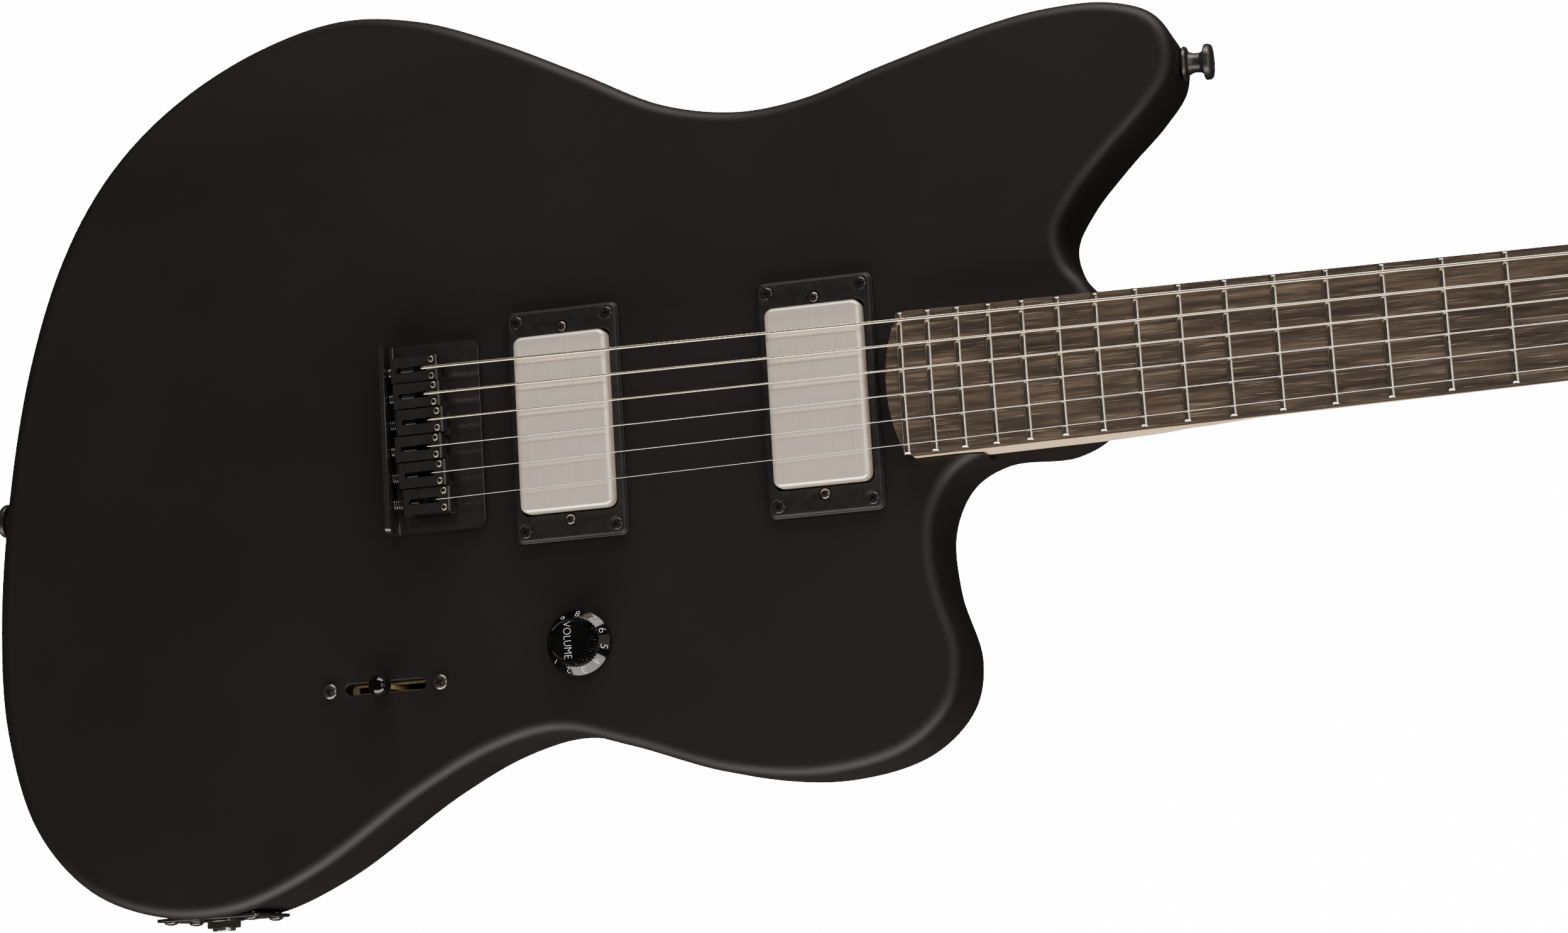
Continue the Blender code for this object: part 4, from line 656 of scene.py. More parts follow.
def belly_rise(x, y):
    """How far the belly cut lies above the flat back. It fades out to either side of its middle."""
    middle_x, fade, start, radius = 85 * MM, 115 * MM, 88 * MM, 62 * MM
    share = (x - middle_x) / fade
    if abs(share) >= 1:
        return 0.0
    return math.cos(share * math.pi / 2) ** 2 * past_line(x, y, 86.0, start) ** 2 / (2 * radius)


def face_height(x, y):
    """The face, with its forearm bevel."""
    start, radius = 131 * MM, 130 * MM
    return FACE_Z - past_line(x, y, 103.9, start) ** 2 / (2 * radius)


def inside(point, outline, margin):
    crossings = 0
    for number, end in enumerate(outline):
        start = outline[number - 1]
        if (start.y > point.y) != (end.y > point.y):
            crossings += point.x < start.x + (point.y - start.y) / (end.y - start.y) * (end.x - start.x)
        if (start - point).length < margin:
            return False
    return crossings % 2 == 1


def cap_face(mesh, rim, height):
    """Fills a rim with triangles, with grid points where the height isn't flat."""
    outline = [vertex.co.xy for vertex in rim]
    start = Vector((min(p.x for p in outline), min(p.y for p in outline)))
    end = Vector((max(p.x for p in outline), max(p.y for p in outline)))
    level = height(0, 0)
    extra = []
    for row in range(int((end.y - start.y) / GRID)):
        for column in range(int((end.x - start.x) / GRID)):
            point = start + Vector((column + 0.5, row + 0.5)) * GRID
            sloped = any(abs(height(point.x + dx, point.y + dy) - level) > 0.01 * MM
                         for dx in (-GRID / 2, GRID / 2) for dy in (-GRID / 2, GRID / 2))
            if sloped and inside(point, outline, GRID * 0.4):
                extra.append(point)
    places, _, triangles, sources, _, _ = delaunay_2d_cdt(
        outline + extra, [], [list(range(len(outline)))], 1, 1e-7)
    corners = []
    for place, source in zip(places, sources):
        if source and source[0] < len(rim):
            corners.append(rim[source[0]])
        else:
            corners.append(mesh.verts.new((place.x, place.y, height(place.x, place.y))))
    for triangle in triangles:
        mesh.faces.new([corners[number] for number in triangle])


def body_blank():
    outline = smooth_outline()
    sides = [outward(outline, number) for number in range(len(outline))]
    inset = [point - side * EDGE_RADIUS for point, side in zip(outline, sides)]
    angles = [math.pi / 2 * step / EDGE_STEPS for step in range(EDGE_STEPS + 1)]
    rows = []
    mesh = bmesh.new()
    for lower, angle in [(True, a) for a in angles] + [(False, a) for a in reversed(angles)]:
        row = []
        for point, side, inner in zip(outline, sides, inset):
            place = point - side * EDGE_RADIUS * (1 - math.sin(angle))
            lifted = EDGE_RADIUS * (1 - math.cos(angle))
            z = belly_rise(*inner) + lifted if lower else face_height(*inner) - lifted
            row.append(mesh.verts.new((place.x, place.y, z)))
        rows.append(row)
    for before, after in zip(rows, rows[1:]):
        for number in range(len(outline)):
            there = (number + 1) % len(outline)
            mesh.faces.new((before[number], before[there], after[there], after[number]))
    cap_face(mesh, rows[0], belly_rise)
    cap_face(mesh, rows[-1], face_height)
    return mesh


def rim_place(aim):
    """The place on the rim nearest to an aim, at the height of the strap buttons, and the way out from it."""
    outline = smooth_outline()
    nearest = min(range(len(outline)), key=lambda number: (outline[number] - Vector(aim)).length)
    place = outline[nearest]
    return Vector((place.x, place.y, 22 * MM)), outward(outline, nearest).to_3d()


STRAP_AIMS = {"front": (330 * MM, 116 * MM), "rear": (-260 * MM, -5 * MM)}
STRAP_SCREW = 2.1 * MM
PICKUP_CAVITIES = mm((41.9, 73.5), (19.2, 85.5))
PICKUP_DEPTH = 15.8 * MM
COVER_LEDGE = 9.4 * MM
CAVITY_ROOF_Z = FACE_Z - 7.5 * MM
KNOB_HOLE = 5 * MM
SWITCH_SLOT = (33.7 * MM, 4.2 * MM)
SWITCH_FLARE = ((0, -9), (0, -0.9), (0.25, -0.4), (0.9, 0), (1.4, 0.4))
JACK_CAVITY = (23.3 * MM, 17.3 * MM)
JACK_BORE = 11 * MM
JACK_BORE_LENGTH = 86 * MM
FERRULE_CAVITY = (4.3 * MM, 31.3 * MM, 6.6 * MM)
NECK_PLATE_RECESS = (52.6 * MM, 42.6 * MM)
above = FACE_Z + 10 * MM
cavity_low, cavity_high = low("control_cover"), high("control_cover")
cavity_centre = ((cavity_low.x + cavity_high.x) / 2, (cavity_low.y + cavity_high.y) / 2)
cover_size = (cavity_high.x - cavity_low.x, cavity_high.y - cavity_low.y)
knob_x, knob_y = middle("volume_knob").xy
switch_x, switch_y = middle("switch_frame").xy
jack_x, jack_z = middle("jack_plate").x, middle("jack_plate").z
jack_place = (jack_x, JACK_RIM_Y, jack_z)
neck_plate_x = (low("neck_plate").x + high("neck_plate").x) / 2
bolt_places = four_corners((neck_plate_x, 0.0), 19.5 * MM, 14.5 * MM)
string_holes = [(STRING_HOLE_X, string_y(index, 0)) for index in STRINGS]
pickup_x = {place: middle(f"{place}_pickup").x for place in ("bridge", "neck")}


def slot_rings(centre, length, width, stations):
    """A cutter for a slot with round ends, through (growth, height) stations."""
    rings = []
    for grown, z in stations:
        size = (length + grown, width + grown)
        rings.append(ring_of(rounded_rectangle(centre, size, size[1] / 2.01), z))
    return loft(rings)


def make_body():
    rear, opening, beyond = HEEL_START_X - FIT, HEEL_START_X + 26 * MM, HEEL_END_X + 60 * MM
    pocket = [(rear, -POCKET_HALF), (opening, -POCKET_HALF), (opening, -CUTAWAY_HALF), (beyond, -CUTAWAY_HALF),
              (beyond, POCKET_HALF), (rear, POCKET_HALF)]
    cuts = [prism(pocket, POCKET_FLOOR_Z, BOARD_TOP_Z)]
    for x in pickup_x.values():
        for size in PICKUP_CAVITIES:
            cuts.append(slab((x, 0), size, 3 * MM, FACE_Z - PICKUP_DEPTH, above))
    cavity = (cover_size[0] - COVER_LEDGE, cover_size[1] - COVER_LEDGE)
    recess = (cover_size[0] + 2 * FIT, cover_size[1] + 2 * FIT)
    cuts.append(slab(cavity_centre, cavity, 10 * MM, BELOW, CAVITY_ROOF_Z))
    cuts.append(slab(cavity_centre, recess, 15 * MM, BELOW, BACK_RECESS))
    cuts.append(drills([(knob_x, knob_y)], KNOB_HOLE, CAVITY_ROOF_Z - MM, above, 32))
    cuts.append(slot_rings((switch_x, switch_y), *SWITCH_SLOT,
                           [(grown * MM, FACE_Z + z * MM) for grown, z in SWITCH_FLARE]))
    half_x, half_z = JACK_CAVITY
    cuts.append(box((jack_x - half_x, -200 * MM, jack_z - half_z), (jack_x + half_x, JACK_RIM_Y, jack_z + half_z)))
    cuts.append(rod(JACK_BORE, 0, JACK_BORE_LENGTH, 48, (jack_x, JACK_RIM_Y - 5 * MM, jack_z), (0, 1, 0)))
    half_x, half_y, roof = FERRULE_CAVITY
    cuts.append(box((STRING_HOLE_X - half_x, -half_y, BELOW), (STRING_HOLE_X + half_x, half_y, roof)))
    cuts.append(drills(string_holes, STRING_HOLE, 5 * MM, above))
    cuts.append(drills(bolt_places, BOLT_HOLE, BELOW, POCKET_FLOOR_Z + MM))
    cuts.append(slab((neck_plate_x, 0), NECK_PLATE_RECESS, 4 * MM, BELOW, BACK_RECESS))
    for aim in STRAP_AIMS.values():
        place, direction = rim_place(aim)
        cuts.append(rod(STRAP_SCREW, -26 * MM, 0, 16, place + direction * 5 * MM, direction))
    body = carved(raw("body_shell", body_blank()), *cuts)
    settled(body, "satin_black_lacquer", ("body",), angle=28)


make_body()


# ---------------- neck, fingerboard, frets and nut

def neck_stations():
    """(x, depth, squareness, top) down the neck, the frame's own stations eased into one another."""
    heel = NECK_TOP_Z - POCKET_FLOOR_Z - FIT
    body_end, nut_end = 16.2 * MM, 15.0 * MM
    step_x = SCALE + 5 * MM
    fixed = [(HEEL_START_X, heel, 9, NECK_TOP_Z), (HEEL_END_X, heel, 9, NECK_TOP_Z),
             (HEEL_END_X + 16 * MM, 0.85 * heel + 0.15 * body_end, 8, NECK_TOP_Z),
             (HEEL_END_X + 36 * MM, (heel + body_end) / 2, 4.5, NECK_TOP_Z),
             (HEEL_END_X + 64 * MM, body_end, 2.5, NECK_TOP_Z),
             ((HEEL_END_X + SCALE) / 2, (body_end + nut_end) / 2, 2.2, NECK_TOP_Z),
             (SCALE - 14 * MM, nut_end, 2.2, NECK_TOP_Z), (SCALE, nut_end + 2 * MM, 2.6, NECK_TOP_Z),
             (step_x, nut_end + 4 * MM, 3, NECK_TOP_Z),
             (step_x + 7 * MM, nut_end - (NECK_TOP_Z - HEAD_TOP_Z) + 4 * MM, 3, HEAD_TOP_Z - 0.05 * MM)]
    stations = []
    for first, second in zip(fixed, fixed[1:]):
        steps = max(2, min(8, int((second[0] - first[0]) / (2 * MM))))
        for step in range(steps):
            share = step / steps
            eased = share * share * (3 - 2 * share)
            values = [a + (b - a) * eased for a, b in zip(first[1:], second[1:])]
            stations.append((first[0] + (second[0] - first[0]) * share, *values))
    return stations + [fixed[-1]]


def neck_ring(x, depth, squareness, top):
    half = board_half_width(x)
    ring = []
    for step in range(41):
        angle = math.pi * step / 40
        y = half * math.copysign(abs(math.cos(angle)) ** (2 / squareness), math.cos(angle))
        ring.append(Vector((x, y, top - depth * abs(math.sin(angle)) ** (2 / squareness))))
    return ring


def headstock_outline():
    first, last = Vector(post_place(0)), Vector(post_place(5))
    along = (last - first).normalized()
    edge = key_direction().xy * 11.5 * MM
    start = NUT_END_X
    half = board_half_width(SCALE)
    tip = SCALE + 186 * MM
    corners = [(start - 8 * MM, half - MM), (start + 9 * MM, half - MM), first + edge - along * 16 * MM,
               last + edge + along * 9 * MM, (tip - 7 * MM, last.y + 2 * MM), (tip, last.y - 12 * MM),
               (tip - 16 * MM, last.y - 22 * MM), (start + 62 * MM, -27 * MM), (start + 22 * MM, -24 * MM),
               (start + 6 * MM, -half + MM), (start - 8 * MM, -half + MM)]
    root = (start - 8 * MM, 0.0)
    return softened([root, *reversed(corners), root], 7 * MM, 6)[1:-1]


def make_neck():
    paddle = rounded(raw("paddle", prism(headstock_outline(), HEAD_BOTTOM_Z, HEAD_TOP_Z)), 1.2 * MM, 3, 50)
    neck = carved(raw("neck_wood", loft([neck_ring(*station) for station in neck_stations()])),
                  mesh_of(paddle), operation="UNION")
    channel = box((LAST_FRET_X + 17.8 * MM, -3 * MM, NECK_TOP_Z - 9.6 * MM),
                  (SCALE - 7.7 * MM, 3 * MM, NECK_TOP_Z + 5 * MM))
    bolts = drills(bolt_places, BOLT_HOLE, POCKET_FLOOR_Z - MM, POCKET_FLOOR_Z + 9.3 * MM)
    posts = drills([post_place(index) for index in STRINGS], 5 * MM, HEAD_BOTTOM_Z - 5 * MM, HEAD_TOP_Z + 5 * MM, 32)
    settled(carved(neck, channel, bolts, posts), "satin_maple", ("neck",), angle=35)


def board_start(share):
    """Where the board begins, at a share of its half width: an arc with a small round at each corner."""
    half = board_half_width(LAST_FRET_X)
    arc, corner = 68 * MM, 3 * MM
    y = abs(share) * half
    end = LAST_FRET_X - 6.6 * MM + arc - math.sqrt(arc ** 2 - y ** 2)
    into_corner = y - (half - corner)
    if into_corner > 0:
        end += corner - math.sqrt(max(0.0, corner ** 2 - into_corner ** 2))
    return end


def make_fingerboard():
    edge_shares = [1.0, 0.99, 0.965, 0.93, 0.89]
    shares = [-share for share in edge_shares] + [0.08 * step for step in range(-10, 11)] + edge_shares[::-1]
    rings = []
    for share in shares:
        ends = [(x, share * board_half_width(x)) for x in (board_start(share), SCALE - FIT)]
        tops = [Vector((x, y, BOARD_TOP_Z - camber(y))) for x, y in ends]
        feet = [Vector((x, y, BOARD_BOTTOM_Z)) for x, y in ends]
        rings.append([feet[0], tops[0], tops[1], feet[1]])
    settled(rounded(raw("fingerboard_wood", loft(rings)), 0.45 * MM, 3, 40), "ebony", ("fingerboard",), angle=30)


def fret_wire(x):
    """A crowned wire, bent to the board's arc, with its ends filed to a slant."""
    crown_half, crown, sunk = 1.35 * MM, 1.2 * MM, 0.3 * MM
    half = board_half_width(x) - 0.15 * MM
    stations = [(-half, 0.10), (-half + 0.35 * MM, 0.5), (-half + 0.8 * MM, 0.92), (-half + 1.2 * MM, 1.0)]
    stations += [(half * step / 10, 1.0) for step in range(-9, 10)]
    stations += [(-y, tall) for y, tall in reversed(stations[:4])]
    rings = []
    for y, tall in stations:
        top = BOARD_TOP_Z - camber(y)
        arc = [(crown_half * math.cos(a), crown * tall * (0.12 + 0.88 * math.sin(a)))
               for a in (math.pi * step / 12 for step in range(13))]
        rings.append([Vector((x + dx, y, top + dz)) for dx, dz in [(crown_half, -sunk), *arc, (-crown_half, -sunk)]])
    return loft(rings)


def make_frets():
    wires = merged([fret_wire(SCALE * 2 ** (-number / 12)) for number in range(1, 23)])
    piece("fret_wires", wires, "fret_nickel", ("fingerboard",), angle=50)


def make_nut():
    half = board_half_width(SCALE) - FIT
    rings = []
    for x in (SCALE, NUT_END_X):
        ring = [Vector((x, -half, NECK_TOP_Z + FIT)), Vector((x, half, NECK_TOP_Z + FIT))]
        for step in range(10, -11, -1):
            y = step / 10 * half
            ring.append(Vector((x, y, FRET_TOP_Z + 0.95 * MM - camber(y))))
        rings.append(ring)
    nut = rounded(raw("nut_bone", loft(rings)), 0.5 * MM, 3, 50)
    slots = []
    for index, radius in enumerate(STRING_RADII):
        start, end = SCALE - MM, SCALE + 5 * MM
        y = string_y(index, SCALE)
        z = string_underside(index, SCALE) + radius
        wide = radius + 0.06 * MM
        slots.append(tube([(start, y, z), (end, string_y(index, end), z)], wide, 16))
        slots.append(box((start, y - wide, z), (end, y + wide, z + 2 * MM)))
    settled(carved(nut, *slots), "nut_bone", ("nut",))


make_neck()
make_fingerboard()
make_frets()
make_nut()


# ---------------- bridge, saddles and strings

FLANGE_REAR_X = low("bridge_plate").x
FLANGE_FRONT_X = FLANGE_REAR_X + 2.2 * MM
BRIDGE_FRONT_X = high("bridge_plate").x
BRIDGE_HALF = high("bridge_plate").y
INTONATION_Z = FACE_Z + 6.6 * MM
SADDLE_LENGTH = 19.5 * MM
SADDLE_HALF = 5.05 * MM
SADDLE_SLOT = 2.2 * MM
SCREW_BACK = 2.6 * MM
SCREW_HALF_GAP = 3.3 * MM
HEIGHT_SCREW = 1.45 * MM
BALL = 1.2 * MM
COIL_RADIUS = 1.75 * MM
COIL_WIRE = 0.33 * MM


def along_y(profile, start, end):
    """A solid of one (x, z) profile between two places across the strings."""
    return loft([[Vector((x, y, z)) for x, z in profile] for y in (start, end)])


def make_bridge_plate():
    base, top = FACE_Z + FIT, FACE_Z + 12 * MM
    profile = softened([(0, base), (BRIDGE_FRONT_X, base), (BRIDGE_FRONT_X, BRIDGE_TOP_Z),
                        (FLANGE_FRONT_X, BRIDGE_TOP_Z), (FLANGE_FRONT_X, top), (FLANGE_REAR_X, top),
                        (FLANGE_REAR_X, base), (0, base)], 0.45 * MM)[:-1]
    bend_x, bend_z = FLANGE_FRONT_X + 2.6 * MM, BRIDGE_TOP_Z + 2.6 * MM
    bend = softened([(bend_x, BRIDGE_TOP_Z - MM), (bend_x, BRIDGE_TOP_Z), (FLANGE_FRONT_X, BRIDGE_TOP_Z),
                     (FLANGE_FRONT_X, bend_z), (FLANGE_FRONT_X - MM, bend_z),
                     (FLANGE_FRONT_X - MM, BRIDGE_TOP_Z - MM)], 2.4 * MM, 8)
    plate = carved(raw("bridge_plate_fine", along_y(profile, -BRIDGE_HALF, BRIDGE_HALF)),
                   along_y(bend, -BRIDGE_HALF + 0.01 * MM, BRIDGE_HALF - 0.01 * MM), operation="UNION")
    join_x, rear_x = -5 * MM, -40 * MM
    front = [point for point in rounded_rectangle((join_x, 0), (2 * (BRIDGE_FRONT_X - join_x), 2 * BRIDGE_HALF),
                                                  4 * MM, 10) if point[0] > join_x]
    outline = [(join_x, -BRIDGE_HALF), *(point for point in front if point[1] < 0),
               *(point for point in front if point[1] >= 0), (join_x, BRIDGE_HALF), (rear_x, BRIDGE_HALF),
               (rear_x, -BRIDGE_HALF)]
    crest = rounded_rectangle((0, 0), (2 * BRIDGE_HALF, 2 * 12 * MM), 3 * MM, 8)
    side_on = loft([[Vector((x, y, FACE_Z + z)) for y, z in crest] for x in (rear_x, 20 * MM)])
    carved(plate, prism(outline, FACE_Z, FACE_Z + 14 * MM), side_on, operation="INTERSECT")
    rounded(plate, 0.3 * MM, 2, 50)
    holes = drills(string_holes, STRING_HOLE, FACE_Z - MM, FACE_Z + 4 * MM, 24)
    bores = [rod(1.4 * MM, 0, 8 * MM, 24, (FLANGE_REAR_X - 3 * MM, string_y(index, 0), INTONATION_Z), (1, 0, 0))
             for index in STRINGS]
    carved(plate, holes, merged(bores))
    settled(plate, "satin_black_metal", ("bridge_plate",), angle=35)


def cup_screw(radius, length):
    """A headless screw from z = 0 down, whose rounded rim stands round a deep socket."""
    rim = [(radius, -0.75), (0.97 * radius, -0.5), (0.88 * radius, -0.24), (0.74 * radius, -0.06),
           (0.60 * radius, 0.0), (0.50 * radius, -0.08), (0.44 * radius, -0.35)]
    profile = [(0, -length), (0.8 * radius, -length), (radius, -length + 0.4 * MM)]
    profile += [(across, up * MM) for across, up in rim]
    return turned(profile + [(0.42 * radius, -1.5 * MM), (0, -1.5 * MM)], 32)


def make_saddle(index):
    name = f"saddle_{index + 1}"
    y = string_y(index, 0)
    front = SADDLE_FRONTS[index]
    rear = front - SADDLE_LENGTH
    top = string_underside(index, 0) - FIT
    block, under, lip = top - 5.2 * MM, top - 3.2 * MM, top - 7.4 * MM
    block_rear, lip_front = front - 5.2 * MM, rear + 2 * MM
    profile = softened([(front - 9 * MM, top), (front - 0.7 * MM, top), (front, top - 0.7 * MM), (front, block),
                        (block_rear, block), (block_rear, under), (lip_front, under), (lip_front, lip),
                        (rear, lip), (rear, top), (front - 9 * MM, top)], 0.3 * MM)[:-1]
    saddle = rounded(raw(f"{name}_fine", along_y(profile, y - SADDLE_HALF, y + SADDLE_HALF)), 0.25 * MM, 2, 50)
    slot_rear, slot_front = front - 17.2 * MM, front - 4.4 * MM
    slot = slot_rings(((slot_front + slot_rear) / 2, y), slot_front - slot_rear, SADDLE_SLOT,
                      [(0, lip), (0, top - 0.3 * MM), (0.25 * MM, top), (0.8 * MM, top + 0.6 * MM)])
    sides = [(front - SCREW_BACK, y + side * SCREW_HALF_GAP) for side in (-1, 1)]
    holes = drills(sides, 1.5 * MM, block - MM, top + MM, 24)
    bore = rod(1.5 * MM, 0, 5 * MM, 24, (rear - 2 * MM, y, INTONATION_Z), (1, 0, 0))
    carved(saddle, slot, holes, bore)
    settled(saddle, "satin_black_metal", (name,), name, 35)
    screws = copies(cup_screw(HEIGHT_SCREW, top - BRIDGE_TOP_Z + 0.2 * MM),
                    [stand((*place, top + 0.5 * MM)) for place in sides])
    piece(f"height_screws_{index + 1}", screws, "cup_screw", (name,), name)


def make_intonation_screw(index):
    name = f"intonation_screw_{index + 1}"
    y = string_y(index, 0)
    back = low(name).x
    head = placed(phillips_head(2.5, 1.9, 1.3, 0.2), (back + 1.95 * MM, y, INTONATION_Z), (-1, 0, 0),
                  math.radians(20 * index))
    start, end = back + 1.8 * MM, high(name).x
    steps = int((end - start) / (0.25 * MM))
    thread = [(1.1 * MM if step % 2 else 0.92 * MM, start + (end - start) * step / steps)
              for step in range(steps + 1)]
    shank = placed(turned([(0, start), *thread, (0, end)], 20), (0, y, INTONATION_Z), (1, 0, 0))
    piece(f"{name}_fine", merged([head, shank]), "ring_screw", (name,), name)


def make_spring(index):
    """The coil that holds a saddle off the flange, drawn for the saddle at rest."""
    y = string_y(index, 0)
    start = FLANGE_FRONT_X + 0.15 * MM
    end = SADDLE_FRONTS[index] - 19.6 * MM
    turns = 2.6 + (end - start) / (2.6 * MM)
    steps = int(turns * 14)
    path = []
    for step in range(steps + 1):
        angle = 2 * math.pi * turns * step / steps
        x = start + 0.35 * MM + (end - start - 0.7 * MM) * step / steps
        path.append((x, y + COIL_RADIUS * math.cos(angle), INTONATION_Z + COIL_RADIUS * math.sin(angle)))
    spring = raw(f"spring_{index + 1}", tube(path, COIL_WIRE, 8))
    spring.data.shade_smooth()
    spring.data.materials.append(finishes["dark_screw"])
    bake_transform(spring)


def string_path(index):
    """From the back, over the saddle and the nut, and round the post."""
    radius = STRING_RADII[index]
    y = string_y(index, 0)
    over_saddle = string_underside(index, 0) + radius
    nut_z = string_underside(index, SCALE) + radius
    bend_x = SADDLE_FRONTS[index] - 5.7 * MM - radius
    corners = [(STRING_HOLE_X, y, 3 * MM), (STRING_HOLE_X, y, BRIDGE_TOP_Z + 0.5 * MM),
               (bend_x, y, over_saddle), (SADDLE_FRONTS[index] - 1.5 * MM, y, over_saddle)]
    path = softened(corners, 0.8 * MM, 6)
    for step in range(1, 9):
        x = SCALE * step / 8
        path.append((x, string_y(index, x), over_saddle + (nut_z - over_saddle) * step / 8))
    path.append((NUT_END_X, string_y(index, NUT_END_X), nut_z - 0.05 * MM))
    post_x, post_y = post_place(index)
    wrap = 3.3 * MM + radius
    wrap_top = high(f"tuner_post_{index + 1}").z - 2.6 * MM
    for step in range(56):
        angle = -math.pi / 2 + 2 * math.pi * step / 24
        path.append((post_x + wrap * math.cos(angle), post_y + wrap * math.sin(angle),
                     wrap_top - 2.2 * radius * step / 24))
    return path


def make_string(index):
    name = f"string_{index + 1}"
    finish = "wound_nickel" if index < 3 else "bright_steel"
    piece(f"{name}_wire", tube(string_path(index), STRING_RADII[index], 16), finish, (name,), angle=60)


def make_ferrules():
    """The block set in the back, with a hole for each string's ball end."""
    block = rounded(raw("ferrule_block_fine", box(low("ferrule_block"), high("ferrule_block"))), 0.4 * MM, 2, 40)
    carved(block, drills(string_holes, 1.9 * MM, -MM, 8 * MM, 32))
    settled(block, "gloss_black_metal", ("ferrule_block",))
    ball = turned([(BALL * math.sin(math.radians(a)), -BALL * math.cos(math.radians(a)))
                   for a in range(0, 181, 15)], 24)
    balls = copies(ball, [stand((*place, 2.0 * MM)) for place in string_holes])
    piece("ball_ends", balls, "fret_nickel", slot="gloss_black_metal")


make_bridge_plate()
make_ferrules()
for string in STRINGS:
    make_saddle(string)
    make_intonation_screw(string)
    make_spring(string)
    make_string(string)


# ---------------- pickups

COVER_SIZE = (38.3 * MM, 69.9 * MM)
COVER_EDGE = 2.3 * MM
COVER_CORNER = 3.6 * MM
WINDOW_SIZE = (39.5 * MM, 71.1 * MM)
RING_CORNER = 3 * MM
RING_EDGE = 1.5 * MM


def shrunk(x, size, inset, corner, steps=6):
    """A rounded rectangle about (x, 0), drawn in by the same amount all round."""
    return rounded_rectangle((x, 0), (size[0] - 2 * inset, size[1] - 2 * inset), corner, steps)


def sunk_hole(at, stations):
    """A cutter for a hole at (x, y), through (radius, height) stations."""
    return loft([ring_of(circle(radius, 32, at), height) for radius, height in stations])


def make_pickup(place):
    node = f"{place}_pickup"
    x = pickup_x[place]
    top, bottom = high(node).z, low(node).z
    rings = [ring_of(shrunk(x, COVER_SIZE, 0, COVER_CORNER, 8), bottom)]
    for step in range(9):
        angle = math.pi / 2 * step / 8
        inset = COVER_EDGE * (1 - math.cos(angle))
        rings.append(ring_of(shrunk(x, COVER_SIZE, inset, COVER_CORNER - inset * 0.9, 8),
                             top - COVER_EDGE * (1 - math.sin(angle))))
    cover = carved(raw(f"{node}_cover", loft(rings)),
                   box((x - 6 * MM, low(node).y, bottom + MM), (x + 6 * MM, high(node).y, bottom + 3 * MM)),
                   operation="UNION")
    settled(cover, "brushed_nickel", (node,), node, 50)


def make_pickup_ring(place):
    node = f"{place}_pickup_ring"
    x = pickup_x[place]
    base, top = low(node).z, high(node).z
    outer = (high(node).x - low(node).x, high(node).y - low(node).y)
    rings = [ring_of(shrunk(x, outer, 0, RING_CORNER), z) for z in (base, base + 1.2 * MM)]
    for step in range(7):
        angle = math.pi / 2 * step / 6
        inset = RING_EDGE * (1 - math.cos(angle)) + 0.3 * MM
        rings.append(ring_of(shrunk(x, outer, inset, RING_CORNER - inset * 0.6),
                             top - RING_EDGE * (1 - math.sin(angle))))
    for grown, z in ((0.7, top), (0.2, top - 0.25 * MM), (0.0, top - 0.7 * MM), (0.0, base)):
        rings.append(ring_of(shrunk(x, WINDOW_SIZE, -grown * MM / 2, RING_CORNER), z))
    corners = four_corners((x, 0.0), 18.65 * MM, 41.55 * MM)
    ends = [(x, sy * 38.15 * MM) for sy in (-1, 1)]
    sinks = [sunk_hole(at, [(1.6 * MM, base - MM), (1.6 * MM, top - 1.2 * MM), (2.95 * MM, top + 0.05 * MM),
                            (2.95 * MM, top + MM)]) for at in corners]
    sinks += [sunk_hole(at, [(2.35 * MM, base - MM), (2.35 * MM, top - 0.3 * MM), (2.7 * MM, top + 0.1 * MM)])
              for at in ends]
    ring = carved(raw(f"{node}_fine", band(rings)), merged(sinks))
    settled(ring, "matte_black_plastic", (node,), angle=35)
    screw_heads(f"{place}_ring_screws", (2.6, 1.2, 1.0, 6),
                [stand((*at, top - 0.75 * MM), spin=0.5 + 0.9 * number) for number, at in enumerate(corners)],
                "ring_screw")
    screw_heads(f"{place}_pickup_height_screws", (2.15, 1.3, 0.9, 9),
                [stand((*at, top - 0.5 * MM), spin=0.3 + number) for number, at in enumerate(ends)])


for place_name in ("bridge", "neck"):
    make_pickup(place_name)
    make_pickup_ring(place_name)


# ---------------- volume control

# Radius, height and ridge depth of the knob's rings: the crown from its top, the rest from the face.
KNOB_CROWN = mm((7.35, -0.35, 0), (7.5, -0.3, 0), (7.65, -0.05, 0), (7.9, 0, 0), (8.2, -0.12, 0.05),
                (8.38, -0.5, 0.4), (8.45, -1.0, 0.55))
KNOB_SKIRT = mm((9.45, 5.7, 0.55), (9.55, 5.25, 0.45), (9.62, 5.12, 0), (9.8, 5.0, 0), (12.55, 2.25, 0),
                (12.85, 1.95, 0), (13.0, 1.6, 0), (13.0, 1.0, 0), (12.85, 0.8, 0), (7.2, 0.8, 0), (7.2, 4.6, 0),
                (3.3, 4.6, 0), (3.3, 11.8, 0))
SKIRT_SLOPE = math.radians(45)
SKIRT_TOP = (9.8 * MM, 5.0 * MM)
DIGIT_RADIUS = 11.1 * MM
FIRST_DIGIT_DEGREES = -144
DIGIT_STEP_DEGREES = 32.9
LETTER_HEIGHT = 3.0 * MM
RIDGES = 45
POINTS_PER_RIDGE = 6


def knurled_ring(radius, height, depth):
    """A ring whose radius dips between ridges. A depth of zero gives a plain circle of as many points."""
    count = RIDGES * POINTS_PER_RIDGE
    ring = []
    for number in range(count):
        angle = 2 * math.pi * number / count
        phase = 2 * math.pi * (number % POINTS_PER_RIDGE) / POINTS_PER_RIDGE
        here = radius - depth * (0.5 - 0.5 * math.cos(phase))
        ring.append(Vector((here * math.cos(angle), here * math.sin(angle), height)))
    return ring


